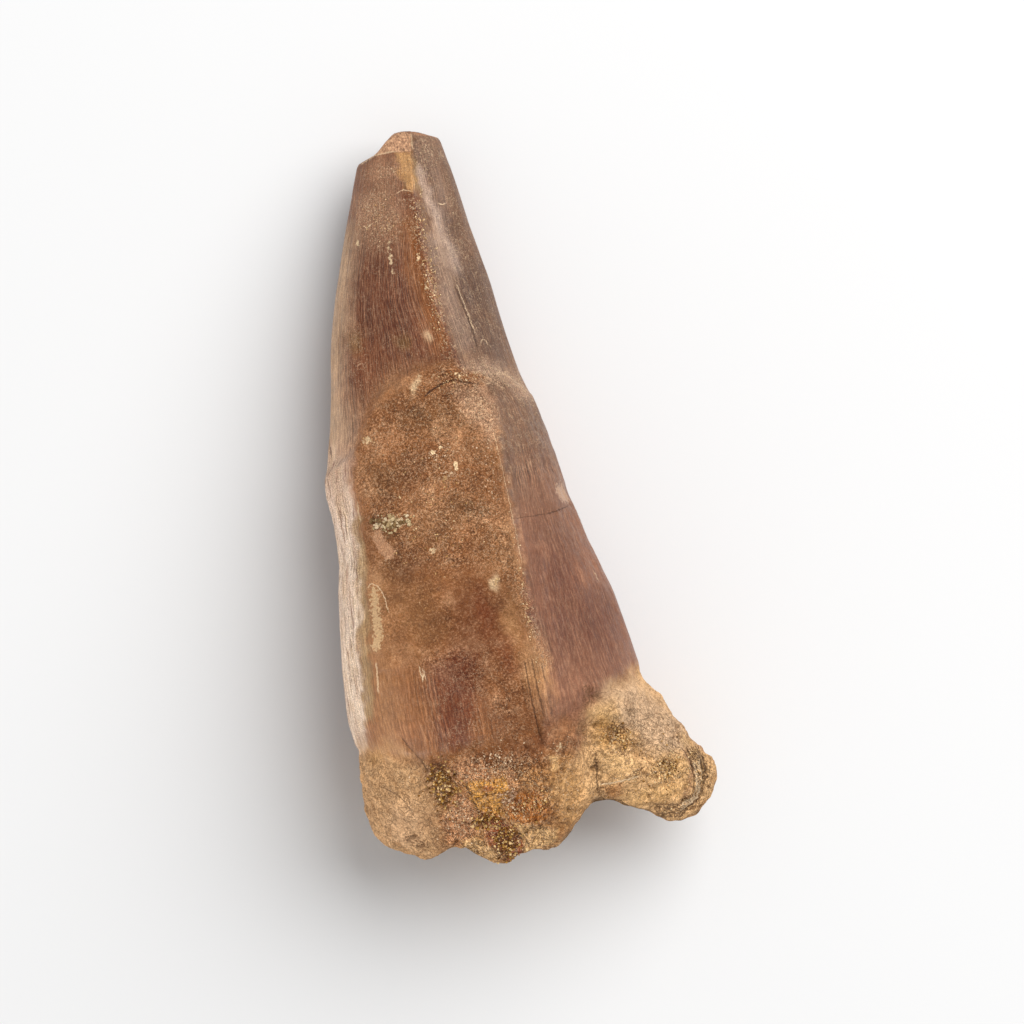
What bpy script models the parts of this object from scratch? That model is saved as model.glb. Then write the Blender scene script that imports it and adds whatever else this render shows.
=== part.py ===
"""A fossil mosasaur tooth, lying on a worn flat on its underside.

The crown points along +Y, with its broken tip there and the root at -Y. Its ridge faces +Z.
The origin is on the floor, below the middle of the tooth. The design is in millimetres: across
is measured from the middle of the tooth, and along from the lowest point of the root to the tip.
"""

import math

import bmesh
import bpy
from mathutils import Vector, noise

MM = 0.001
LENGTH = 58.0
NAME = "tooth"
COLLECTION = "fossil mosasaur tooth"

# Plan of the tooth: how far across each line lies, at distances along the tooth.
LEFT_EDGE = [
    (0, -11.0), (2, -12.4), (4, -13.5), (7.5, -14.05), (10.5, -13.55), (13, -13.75), (17, -13.5),
    (22, -12.85), (26, -12.2), (28.5, -12.2), (31.5, -12.25), (34, -11.75), (36, -11.25),
    (40, -10.5), (45, -9.4), (50, -7.75), (54, -6.35), (56, -5.6), (58, -5.0),
]
RIGHT_EDGE = [
    (0, 12.3), (1.8, 13.7), (4.2, 14.1), (5.5, 13.8), (7, 12.8), (9, 11.6), (11, 10.6), (13, 9.6),
    (16, 8.95), (20, 8.15), (25, 6.7), (30, 5.8), (34, 5.1), (36, 4.6), (38, 4.05), (42, 3.5),
    (46, 3.0), (50, 2.25), (54, 1.7), (58, 1.0),
]
RIDGE_ACROSS = [
    (0, 1.0), (6, 1.7), (13, 1.95), (20, 1.65), (28, 1.55), (35, 1.35), (36.5, 0.6), (38, -0.3),
    (42, -0.95), (45, -1.6), (50, -1.6), (54, -1.45), (58, -1.2),
]

# Heights over the floor, at distances along the tooth.
RIDGE_HEIGHT = [
    (0, 11.2), (2, 13.2), (5, 16.2), (8.5, 18.2), (12.5, 18.6), (20, 17.6), (30, 15.2), (38, 13.0),
    (46, 10.7), (52, 8.9), (56.5, 7.4), (58, 6.7),
]
UNDERSIDE_HEIGHT = [(0, 2.4), (3, 0.7), (7, -0.5), (20, -0.7), (32, -0.6), (42, 0.1), (50, 0.9), (58, 2.0)]

# Where the two broken ends lie along the tooth, at places across it.
ROOT_BREAK = [
    (-14, 2.8), (-12.5, 2.1), (-10.5, 1.3), (-9, 1.6), (-7.5, 1.4), (-6, 0.7), (-4.2, -0.1),
    (-2.5, 0.2), (0.5, 0.3), (2, 1.3), (5, 3.3), (8, 2.4), (11, 0.8), (12.5, 0.8), (14, 1.8),
]
TIP_BREAK = [(-6, 56.1), (-4.2, 56.65), (-3.0, 57.6), (-2.2, 58.0), (-0.6, 57.9), (1.3, 57.2)]
ROOT_RIM = 1.2
TIP_RIM = 0.5
ROOT_HOLLOW = 0.9
TIP_HOLLOW = 0.4
# A broken end draws back below a height, by up to a depth: (height, depth).
ROOT_UNDERCUT = (8.0, 2.0)
TIP_UNDERCUT = (4.5, 0.9)
# The ridge is a sharp corner on the crown and is rounded off towards the root.
RIDGE_ROUND_AT = 6.0
RIDGE_SHARP_AT = 13.0

# Lines drawn along the tooth, in order round it from the ridge, with the faces between each and
# the next. A line has places (along, side, up): side is -1 at the left edge, 0 under the ridge
# and 1 at the right edge, and up is 0 on the underside and 1 at the ridge.
LINES = [
    ("ridge", 8, [(0, 0.0, 1.0)]),
    ("left face", 7, [(0, -0.40, 1.02), (6, -0.42, 0.98), (14, -0.42, 0.955), (58, -0.45, 0.92)]),
    ("left shoulder", 4, [(0, -0.82, 0.88), (8, -0.83, 0.80), (30, -0.82, 0.80), (58, -0.80, 0.74)]),
    ("left edge", 4, [(0, -1.0, 0.50), (58, -1.0, 0.48)]),
    ("left flank", 3, [(0, -0.88, 0.19), (58, -0.88, 0.20)]),
    ("left keel", 3, [(0, -0.56, 0.06), (58, -0.52, 0.05)]),
    ("keel", 3, [(0, -0.2, 0.0), (58, -0.08, 0.0)]),
    ("right keel", 3, [(0, 0.26, 0.07), (14, 0.26, 0.06), (58, 0.32, 0.05)]),
    ("right flank", 4, [(0, 0.86, 0.22), (6, 0.86, 0.20), (14, 0.84, 0.19), (58, 0.84, 0.20)]),
    ("right edge", 4, [(0, 1.0, 0.46), (6, 1.0, 0.43), (14, 1.0, 0.47), (58, 1.0, 0.48)]),
    ("right face", 8, [(0, 0.74, 0.66), (6, 0.74, 0.64), (13, 0.60, 0.78), (40, 0.58, 0.80), (58, 0.58, 0.78)]),
]
ROWS = 78
# The grid of faces that closes an end: the columns of its upper side on each side of the ridge,
# those of each short side, and how far from the rim its broken surface sets in.
END_UPPER_LEFT = 14
END_UPPER_RIGHT = 6
END_SIDE = 5
END_EASE = 2.0

# The crust that grew on the crown, and the step that goes on from its edge over the right face.
CRUST_EDGE = [
    (-14, 32.2), (-11, 33.2), (-9.4, 34.2), (-7.9, 36.8), (-6.4, 38.5), (-3.8, 39.5), (-1.8, 39.9),
    (0.3, 38.0), (3, 37.4), (5, 36.3), (7, 35.6),
]
CRUST_THICKNESS = 0.5
CRUST_FADES_FROM = 26.0
CRUST_FADES_TO = 8.0

# Grooves in the upper side: (places (across, along), half width, depth). A rim has a depth below 0.
GROOVES = [
    ([(-0.6, 57.0), (-0.6, 53.1), (0.1, 50.5), (0.8, 47.2), (1.3, 43.0)], 0.75, 0.55),
    ([(1.0, 54.5), (1.4, 50.5)], 0.7, -0.25),
    ([(5.5, 9.5), (5.1, 7.0), (5.1, 5.2)], 1.2, 0.9),
    ([(12.6, 7.8), (12.2, 4.6), (11.0, 2.2)], 0.45, 0.3),
    ([(0.2, 16.0), (0.1, 9.0)], 0.3, 0.22),
    ([(1.0, 16.0), (0.9, 9.0)], 0.3, 0.22),
    ([(-11.8, 9.0), (-10.3, 6.3), (-9.0, 4.4)], 0.4, 0.25),
]
RIDGE_BEAD = ([(1.9, 9.0), (1.65, 20.0), (1.5, 33.0)], 0.55, -0.3)
TIP_BEAD = ([(-0.4, 38.5), (-1.6, 45.0), (-1.5, 54.0)], 0.5, -0.2)

# Pits and lumps in the upper side: (across, along, radius, depth). A lump has a depth below 0.
PITS = [
    (-7.3, 7.6, 1.1, 0.8), (-6.4, 5.7, 0.9, 0.6), (-3.9, 3.9, 1.2, 0.6), (-1.6, 4.8, 1.0, 0.5),
    (-9.5, 3.9, 0.8, 0.5), (7.2, 8.6, 1.0, 0.55), (10.3, 5.1, 1.1, 0.6), (8.6, 6.6, 0.7, 0.35),
    (-4.6, 6.3, 1.0, -0.4), (0.8, 3.9, 1.3, -0.4), (3.0, 7.4, 1.0, -0.3), (-10.8, 5.4, 1.5, -0.35),
    (-7.5, 27.8, 1.1, -0.4), (-5.0, 28.2, 0.8, -0.2), (-2.4, 31.3, 1.4, -0.2), (-4.7, 37.9, 0.7, -0.2),
]

# Where the enamel ends round the root, as a small step down on to bone.
ENAMEL_END = [(-14, 11.2), (-8, 9.4), (2.7, 11.0), (6, 12.2), (10, 13.4), (14, 14.0)]
ENAMEL_THICKNESS = 0.28

# Unevenness: how high and how wide the lumps are on the enamel, the crust and the bare root.
ENAMEL_LUMPS = (0.07, 5.0)
CRUST_LUMPS = (0.16, 2.2)
ROOT_LUMPS = (0.34, 2.4)
BREAK_LUMPS = (0.45, 1.8)


def profile(places, at):
    """The value at one place of a smooth line through (place, value) pairs."""
    last = len(places) - 1
    at = min(max(at, places[0][0]), places[last][0])
    step = 0
    while step < last - 1 and at > places[step + 1][0]:
        step += 1
    slopes = []
    for knot in (step, step + 1):
        before = places[max(knot - 1, 0)]
        after = places[min(knot + 1, last)]
        slopes.append((after[1] - before[1]) / (after[0] - before[0]))
    start, start_value = places[step]
    span = places[step + 1][0] - start
    rise = places[step + 1][1] - start_value
    part = (at - start) / span
    ease = part * part * (3 - 2 * part)
    leaving = slopes[0] * span * part * (1 - part) ** 2
    arriving = slopes[1] * span * part * part * (part - 1)
    return start_value + rise * ease + leaving + arriving


def smooth_step(low, high, value):
    part = min(max((value - low) / (high - low), 0.0), 1.0)
    return part * part * (3 - 2 * part)


def lumps(size, point, seed):
    height, width = size
    place = Vector(point) / width
    place.z += seed
    return height * (noise.noise(place) + 0.5 * noise.noise(place * 2.3))


def line_place(places, along):
    if len(places) == 1:
        return places[0][1], places[0][2]
    side = profile([(place[0], place[1]) for place in places], along)
    up = profile([(place[0], place[2]) for place in places], along)
    return side, up


def on_line(places, along):
    """A point (across, height) of one of the lines drawn along the tooth."""
    side, up = line_place(places, along)
    ridge = profile(RIDGE_ACROSS, along)
    edge = profile(LEFT_EDGE if side < 0 else RIGHT_EDGE, along)
    low = profile(UNDERSIDE_HEIGHT, along)
    high = profile(RIDGE_HEIGHT, along)
    return Vector((ridge + abs(side) * (edge - ridge), low + up * (high - low)))


def curve_point(before, start, end, after, part):
    """A point of the smooth curve from start to end, which leans towards their neighbours."""
    leaving = (end - before) / 2
    arriving = (after - start) / 2
    ease = part * part * (3 - 2 * part)
    return (
        start
        + (end - start) * ease
        + leaving * (part * (1 - part) ** 2)
        + arriving * (part * part * (part - 1))
    )


def columns():
    """Each column of faces round the tooth, as its line's number and its part of the way on."""
    found = []
    for line, (_, faces, _) in enumerate(LINES):
        for face in range(faces):
            found.append((line, face / faces))
    return found


def section_point(column, along):
    """A point (across, height) of the section, which has a corner at the ridge of the crown."""
    line, part = column
    start, end, before, after = [
        on_line(LINES[(line + step) % len(LINES)][2], along) for step in (0, 1, -1, 2)
    ]
    sharp = smooth_step(RIDGE_ROUND_AT, RIDGE_SHARP_AT, along)
    if line == 0:
        before = before.lerp(2 * start - end, sharp)
    if line == len(LINES) - 1:
        after = after.lerp(2 * end - start, sharp)
    return curve_point(before, start, end, after, part)


def undercut(size, height):
    top, depth = size
    return depth * (1 - smooth_step(0.2 * top, top, height))


def root_break(across, height):
    return profile(ROOT_BREAK, across) + undercut(ROOT_UNDERCUT, height)


def tip_break(across, height):
    return profile(TIP_BREAK, across) - undercut(TIP_UNDERCUT, height)


def ends(column):
    """Where one column starts at the root break and stops at the tip break."""
    start, stop = 0.0, LENGTH
    for _ in range(4):
        root = section_point(column, start)
        start = root_break(root.x, root.y)
        tip = section_point(column, stop)
        stop = tip_break(tip.x, tip.y)
    return start, stop


def row_part(row):
    """How far along a row of faces lies. Rows stand closer together near both ends."""
    part = row / ROWS
    return part - 0.62 * math.sin(2 * math.pi * part) / (2 * math.pi)


def rounded_rim(radius, distance):
    """How far the surface draws in at a distance from a broken end with a rounded rim."""
    if distance >= radius:
        return 0.0
    left = min(1 - distance / radius, 1.0)
    return radius * (1 - math.sqrt(1 - left * left)) * 0.7


def side_rows():
    """The rows of points of the tooth's side, from the root to the tip."""
    drawn = [(column, *ends(column)) for column in columns()]
    rows = []
    for row in range(ROWS + 1):
        points = []
        for column, start, stop in drawn:
            along = start + (stop - start) * row_part(row)
            point = section_point(column, along)
            middle = Vector((
                (profile(LEFT_EDGE, along) + profile(RIGHT_EDGE, along)) / 2,
                (profile(UNDERSIDE_HEIGHT, along) + profile(RIDGE_HEIGHT, along)) / 2,
            ))
            inward = middle - point
            drawn_in = rounded_rim(ROOT_RIM, along - start) + rounded_rim(TIP_RIM, stop - along)
            point += inward.normalized() * drawn_in
            points.append(Vector((point.x, along, point.y)))
        rows.append(points)
    return rows


def join_rings(bm, lower, upper):
    count = len(lower)
    for column in range(count):
        after = (column + 1) % count
        bm.faces.new((lower[column], lower[after], upper[after], upper[column]))


def close_end(bm, rim, place_break, hollow):
    """Closes an open end of the side with a grid of faces, and breaks its surface up."""
    known = set(bm.verts)
    edges = [bm.edges.get((vert, rim[(place + 1) % len(rim)])) for place, vert in enumerate(rim)]
    upper = [edges[place % len(edges)] for place in range(-END_UPPER_RIGHT, END_UPPER_LEFT)]
    lower_start = END_UPPER_LEFT + END_SIDE
    lower = edges[lower_start:lower_start + len(upper)]
    bmesh.ops.grid_fill(bm, edges=upper + lower, use_interp_simple=True)
    for vert in [vert for vert in bm.verts if vert not in known]:
        inside = smooth_step(0.0, END_EASE, min((vert.co - other.co).length for other in rim))
        settled = place_break(vert.co.x, vert.co.z) + hollow + lumps(BREAK_LUMPS, vert.co, 40.0)
        vert.co.y += (settled - vert.co.y) * inside


def near_path(path, across, along):
    """The distance in plan from a place to a path of straight stretches."""
    place = Vector((across, along))
    nearest = math.inf
    for start, end in zip(path, path[1:]):
        start = Vector(start)
        run = Vector(end) - start
        part = min(max((place - start).dot(run) / run.length_squared, 0.0), 1.0)
        nearest = min(nearest, (place - start - run * part).length)
    return nearest


def hill(distance, half_width):
    """1 in the middle of a feature and 0 beyond about twice its half width."""
    return math.exp(-((distance / half_width) ** 2))


def crust_cover(across, along, up):
    """How much crust covers a place on the upper side, from 0 to 1."""
    inside = smooth_step(-0.2, 0.9, profile(CRUST_EDGE, across) - along)
    worn = smooth_step(CRUST_FADES_TO, CRUST_FADES_FROM, along)
    return inside * worn * up


def root_cover(across, along):
    """How bare the root is at a place, from 0 on the enamel to 1 on bone."""
    wave = 0.8 * noise.noise(Vector((across / 3.0, along / 6.0, 7.0)))
    return 1 - smooth_step(-0.5, 0.5, along - profile(ENAMEL_END, across) - wave)


def relief(point, normal):
    """How far the surface stands out at a point, over the plain sweep of the sections."""
    across, along = point.x, point.y
    up = smooth_step(-0.1, 0.5, normal.z)
    crust = crust_cover(across, along, up)
    root = root_cover(across, along)
    broken = 1 - smooth_step(3.0, 8.5, along)
    height = CRUST_THICKNESS * crust - ENAMEL_THICKNESS * root
    height += lumps(ENAMEL_LUMPS, point, 0.0)
    height += lumps(CRUST_LUMPS, point, 10.0) * crust
    height += lumps(ROOT_LUMPS, point, 20.0) * max(root, broken)
    for path, half_width, depth in [*GROOVES, RIDGE_BEAD, TIP_BEAD]:
        height -= up * depth * hill(near_path(path, across, along), half_width)
    for pit_across, pit_along, radius, depth in PITS:
        distance = math.hypot(across - pit_across, along - pit_along)
        height -= up * depth * hill(distance, radius)
    return height


def raise_relief(bm):
    bm.normal_update()
    moves = [(vert, vert.normal * relief(vert.co, vert.normal)) for vert in bm.verts]
    for vert, move in moves:
        vert.co += move


def wear_flat(bm):
    """Cuts the underside off at the floor, which leaves the flat that the tooth lies on."""
    everything = bm.verts[:] + bm.edges[:] + bm.faces[:]
    cut = bmesh.ops.bisect_plane(
        bm, geom=everything, dist=0.0001, plane_co=(0, 0, 0), plane_no=(0, 0, -1), clear_outer=True
    )
    rim = [part for part in cut["geom_cut"] if isinstance(part, bmesh.types.BMEdge)]
    bmesh.ops.contextual_create(bm, geom=rim)


def set_origin(bm):
    """Moves the origin from the root to the middle of the tooth, and turns millimetres to metres."""
    bmesh.ops.translate(bm, vec=(0, -LENGTH / 2, 0), verts=bm.verts)
    bmesh.ops.scale(bm, vec=(MM, MM, MM), verts=bm.verts)


def stone_material():
    material = bpy.data.materials.new("fossil enamel and bone")
    material.use_nodes = True
    shader = material.node_tree.nodes["Principled BSDF"]
    shader.inputs["Base Color"].default_value = (0.30, 0.15, 0.08, 1)
    shader.inputs["Roughness"].default_value = 0.5
    shader.inputs["Metallic"].default_value = 0.0
    return material


def make_tooth():
    bm = bmesh.new()
    rows = [[bm.verts.new(point) for point in row] for row in side_rows()]
    for lower, upper in zip(rows, rows[1:]):
        join_rings(bm, lower, upper)
    close_end(bm, rows[0], root_break, ROOT_HOLLOW)
    close_end(bm, rows[-1], tip_break, -TIP_HOLLOW)
    bmesh.ops.recalc_face_normals(bm, faces=bm.faces)
    raise_relief(bm)
    wear_flat(bm)
    set_origin(bm)
    mesh = bpy.data.meshes.new(NAME)
    bm.to_mesh(mesh)
    bm.free()
    mesh.shade_smooth()
    mesh.materials.append(stone_material())
    return bpy.data.objects.new(NAME, mesh)


def main():
    for old in list(bpy.data.objects):
        bpy.data.objects.remove(old)
    collection = bpy.data.collections.new(COLLECTION)
    bpy.context.scene.collection.children.link(collection)
    collection.objects.link(make_tooth())


main()
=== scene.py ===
import math
import random

import bmesh
import bpy
import numpy as np
from mathutils import Euler, Matrix, Vector, noise
from mathutils.bvhtree import BVHTree


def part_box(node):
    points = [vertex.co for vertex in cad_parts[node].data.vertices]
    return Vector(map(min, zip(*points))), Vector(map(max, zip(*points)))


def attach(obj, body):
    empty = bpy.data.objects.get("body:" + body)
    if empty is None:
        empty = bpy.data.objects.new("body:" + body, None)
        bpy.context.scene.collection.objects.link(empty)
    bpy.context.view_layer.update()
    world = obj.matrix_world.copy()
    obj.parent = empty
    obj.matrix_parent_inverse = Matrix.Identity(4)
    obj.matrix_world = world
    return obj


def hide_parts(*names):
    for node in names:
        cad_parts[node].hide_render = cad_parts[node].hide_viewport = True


# A fossil mosasaur tooth: its surface in full, the sand grains stuck to it, and a plain studio.
# Places are in millimetres: across the tooth, and along it from the root (0) to the tip (58).
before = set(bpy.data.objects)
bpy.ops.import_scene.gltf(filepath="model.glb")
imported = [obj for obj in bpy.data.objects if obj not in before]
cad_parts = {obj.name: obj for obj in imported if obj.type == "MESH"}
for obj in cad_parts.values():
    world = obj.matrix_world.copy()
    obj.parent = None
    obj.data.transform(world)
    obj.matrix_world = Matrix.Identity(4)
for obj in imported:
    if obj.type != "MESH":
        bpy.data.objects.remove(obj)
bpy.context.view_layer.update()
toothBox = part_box("tooth")
print("frame loaded, tooth height", round(toothBox[1].z * 1000, 1), "mm")

mm = 0.001
farOutside = 3.0  # stands for any place that is well clear of a mark


def profile(places, at):
    # smooth line through (place, value) pairs, read at one place or at an array of them
    knots = np.array(places, float)
    x, y = knots[:, 0], knots[:, 1]
    last = len(x) - 1
    at = np.clip(at, x[0], x[-1])
    step = np.clip(np.searchsorted(x, at, side="left") - 1, 0, last - 1)
    before, after = np.maximum(step - 1, 0), np.minimum(step + 2, last)
    leaving = (y[step + 1] - y[before]) / (x[step + 1] - x[before])
    arriving = (y[after] - y[step]) / (x[after] - x[step])
    span = x[step + 1] - x[step]
    part = (at - x[step]) / span
    ease = part * part * (3 - 2 * part)
    rise = (y[step + 1] - y[step]) * ease
    bend = leaving * span * part * (1 - part) ** 2 + arriving * span * part * part * (part - 1)
    return y[step] + rise + bend


def smoothStep(low, high, value):
    part = np.clip((value - low) / (high - low), 0.0, 1.0)
    return part * part * (3 - 2 * part)


def noiseOver(points, width, seed=0.0):
    # one noise value for each point, with lumps about as wide as width
    places = points / width
    places[:, 2] += seed
    return np.array([noise.noise(place) for place in places.tolist()])


def lumpsOver(points, height, width, seed):
    # lumps of two sizes, the finer ones half as high
    places = points / width
    places[:, 2] += seed
    return height * np.array([
        noise.noise(place) + 0.5 * noise.noise([value * 2.3 for value in place])
        for place in places.tolist()
    ])


def hill(distance, halfWidth):
    return np.exp(-((distance / halfWidth) ** 2))


def nearestOnPath(path, across, along):
    # distance to a path, which side of it a place is on, and how far it is from the path's ends
    nearest = np.full(across.shape, 99.0)
    side = np.ones(across.shape)
    travelled = np.zeros(across.shape)
    done = 0.0
    for start, end in zip(path, path[1:]):
        runX, runY = end[0] - start[0], end[1] - start[1]
        length = math.hypot(runX, runY)
        toX, toY = across - start[0], along - start[1]
        part = np.clip((toX * runX + toY * runY) / length ** 2, 0.0, 1.0)
        distance = np.hypot(toX - part * runX, toY - part * runY)
        closer = distance < nearest
        nearest = np.where(closer, distance, nearest)
        side = np.where(closer, np.sign(runX * toY - runY * toX), side)
        travelled = np.where(closer, done + part * length, travelled)
        done += length
    return nearest, side, np.minimum(travelled, done - travelled)


def insideArea(outline, across, along):
    # distance to an outline, above 0 inside it
    inside = np.zeros(across.shape, bool)
    closed = outline + outline[:1]
    for (x0, y0), (x1, y1) in zip(closed, closed[1:]):
        if y0 != y1:
            crosses = (y0 > along) != (y1 > along)
            inside ^= crosses & (across < (x1 - x0) * (along - y0) / (y1 - y0) + x0)
    distance = nearestOnPath(closed, across, along)[0]
    return np.where(inside, distance, -distance)


def insideSpot(spot, across, along):
    # distance to an oval (across, along, half width, half length, lean in degrees), above 0 inside it
    x, y, halfWidth, halfLength, lean = spot
    turn = math.radians(lean)
    toX, toY = across - x, along - y
    sideways = (toX * math.cos(turn) + toY * math.sin(turn)) / halfWidth
    lengthways = (toY * math.cos(turn) - toX * math.sin(turn)) / halfLength
    return (1 - np.hypot(sideways, lengthways)) * min(halfWidth, halfLength)


def insideMarks(marks, across, along):
    # distance to the nearest mark of a layer, above 0 inside one
    found = np.full(across.shape, -farOutside)
    for spot in marks.get("spots", []):
        found = np.maximum(found, insideSpot(spot, across, along))
    for path, halfWidth in marks.get("strokes", []):
        found = np.maximum(found, halfWidth - nearestOnPath(path, across, along)[0])
    for outline in marks.get("areas", []):
        found = np.maximum(found, insideArea(outline, across, along))
    return found


# the same plan and sections as the solid has, drawn much finer
tooth = {
    "length": 58.0,
    "leftEdge": [
        (0, -11.0), (2, -12.4), (4, -13.5), (7.5, -14.05), (10.5, -13.55), (13, -13.75), (17, -13.5),
        (22, -12.85), (26, -12.2), (28.5, -12.2), (31.5, -12.25), (34, -11.75), (36, -11.25),
        (40, -10.5), (45, -9.4), (50, -7.75), (54, -6.35), (56, -5.6), (58, -5.0),
    ],
    "rightEdge": [
        (0, 12.3), (1.8, 13.7), (4.2, 14.1), (5.5, 13.8), (7, 12.8), (9, 11.6), (11, 10.6), (13, 9.6),
        (16, 8.95), (20, 8.15), (25, 6.7), (30, 5.8), (34, 5.1), (36, 4.6), (38, 4.05), (42, 3.5),
        (46, 3.0), (50, 2.25), (54, 1.7), (58, 1.0),
    ],
    "ridgeAcross": [
        (0, 1.0), (6, 1.7), (13, 1.95), (20, 1.65), (28, 1.55), (35, 1.35), (36.5, 0.6), (38, -0.3),
        (42, -0.95), (45, -1.6), (50, -1.6), (54, -1.45), (58, -1.2),
    ],
    "ridgeHeight": [
        (0, 11.2), (2, 13.2), (5, 16.2), (8.5, 18.2), (12.5, 18.6), (20, 17.6), (30, 15.2), (38, 13.0),
        (46, 10.7), (52, 8.9), (56.5, 7.4), (58, 6.7),
    ],
    "undersideHeight": [
        (0, 2.4), (3, 0.7), (7, -0.5), (20, -0.7), (32, -0.6), (42, 0.1), (50, 0.9), (58, 2.0),
    ],
    # the two broken ends: how far along they lie, at places across the tooth
    "rootBreak": [
        (-14, 2.8), (-12.5, 2.1), (-10.5, 1.3), (-9, 1.6), (-7.5, 1.4), (-6, 0.7), (-4.2, -0.1),
        (-2.5, 0.2), (0.5, 0.3), (2, 1.3), (5, 3.3), (8, 2.4), (11, 0.8), (12.5, 0.8), (14, 1.8),
    ],
    "tipBreak": [(-6, 56.1), (-4.2, 56.65), (-3.0, 57.6), (-2.2, 58.0), (-0.6, 57.9), (1.3, 57.2)],
    "rootRim": 1.2, "tipRim": 0.5,
    "rootHollow": 0.9, "tipHollow": -0.4,
    "rootUndercut": (8.0, 2.0), "tipUndercut": (4.5, -0.9),
    "ridgeRoundAt": 6.0, "ridgeSharpAt": 13.0,
    # lines along the tooth, round it from the ridge: faces to the next, then (along, side, up)
    "lines": [
        (50, [(0, 0.0, 1.0)]),
        (46, [(0, -0.40, 1.02), (6, -0.42, 0.98), (14, -0.42, 0.955), (58, -0.45, 0.92)]),
        (30, [(0, -0.82, 0.88), (8, -0.83, 0.80), (30, -0.82, 0.80), (58, -0.80, 0.74)]),
        (16, [(0, -1.0, 0.50), (58, -1.0, 0.48)]),
        (12, [(0, -0.88, 0.19), (58, -0.88, 0.20)]),
        (12, [(0, -0.56, 0.06), (58, -0.52, 0.05)]),
        (12, [(0, -0.2, 0.0), (58, -0.08, 0.0)]),
        (14, [(0, 0.26, 0.07), (14, 0.26, 0.06), (58, 0.32, 0.05)]),
        (24, [(0, 0.86, 0.22), (6, 0.86, 0.20), (14, 0.84, 0.19), (58, 0.84, 0.20)]),
        (30, [(0, 1.0, 0.46), (6, 1.0, 0.43), (14, 1.0, 0.47), (58, 1.0, 0.48)]),
        (42, [(0, 0.74, 0.66), (6, 0.74, 0.64), (13, 0.60, 0.78), (40, 0.58, 0.80), (58, 0.58, 0.78)]),
    ],
    "rows": 300,
    "endUpperLeft": 90, "endUpperRight": 30, "endSide": 24,  # how the faces that close an end are laid
    "endEase": 2.0,
}


def linePoint(line, along):
    # (across, height) of a line drawn along the tooth
    places = tooth["lines"][line % len(tooth["lines"])][1]
    if len(places) == 1:
        side, up = np.full(along.shape, places[0][1]), np.full(along.shape, places[0][2])
    else:
        side = profile([(place[0], place[1]) for place in places], along)
        up = profile([(place[0], place[2]) for place in places], along)
    ridge = profile(tooth["ridgeAcross"], along)
    edge = np.where(side < 0, profile(tooth["leftEdge"], along), profile(tooth["rightEdge"], along))
    low = profile(tooth["undersideHeight"], along)
    high = profile(tooth["ridgeHeight"], along)
    return np.array((ridge + abs(side) * (edge - ridge), low + up * (high - low)))


def sectionPoint(line, part, along):
    # (across, height) at a part of the way from one line to the next
    start, end, before, after = (linePoint(line + step, along) for step in (0, 1, -1, 2))
    sharp = smoothStep(tooth["ridgeRoundAt"], tooth["ridgeSharpAt"], along)
    if line == 0:
        before = before + (2 * start - end - before) * sharp
    if line == len(tooth["lines"]) - 1:
        after = after + (2 * end - start - after) * sharp
    ease = part * part * (3 - 2 * part)
    leaving = (end - before) / 2 * (part * (1 - part) ** 2)
    arriving = (after - start) / 2 * (part * part * (part - 1))
    return start + (end - start) * ease + leaving + arriving


def brokenEnd(outline, undercut, across, height):
    top, depth = undercut
    return profile(outline, across) + depth * (1 - smoothStep(0.2 * top, top, height))


def rootEnd(across, height):
    return brokenEnd(tooth["rootBreak"], tooth["rootUndercut"], across, height)


def tipEnd(across, height):
    return brokenEnd(tooth["tipBreak"], tooth["tipUndercut"], across, height)


def roundedRim(radius, distance):
    left = np.clip(1 - distance / radius, 0.0, 1.0)
    return radius * (1 - np.sqrt(1 - left * left)) * 0.7


def sidePoints():
    # every point of the tooth's side, as rows of (across, along, height)
    share = np.linspace(0, 1, tooth["rows"] + 1)
    share = share - 0.45 * np.sin(2 * np.pi * share) / (2 * np.pi)
    strips = []
    for line, (faces, _) in enumerate(tooth["lines"]):
        part = (np.arange(faces) / faces)[:, None]
        start, stop = np.zeros((faces, 1)), np.full((faces, 1), tooth["length"])
        for _ in range(4):
            start = rootEnd(*sectionPoint(line, part, start))
            stop = tipEnd(*sectionPoint(line, part, stop))
        along = start + (stop - start) * share
        across, height = sectionPoint(line, part, along)
        middleAcross = (profile(tooth["leftEdge"], along) + profile(tooth["rightEdge"], along)) / 2
        middleHeight = (profile(tooth["undersideHeight"], along) + profile(tooth["ridgeHeight"], along)) / 2
        inward = np.array((middleAcross - across, middleHeight - height))
        inward /= np.hypot(inward[0], inward[1])
        drawn = roundedRim(tooth["rootRim"], along - start) + roundedRim(tooth["tipRim"], stop - along)
        strips.append(np.stack((across + inward[0] * drawn, along, height + inward[1] * drawn), axis=-1))
    return np.concatenate(strips).transpose(1, 0, 2)


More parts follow.
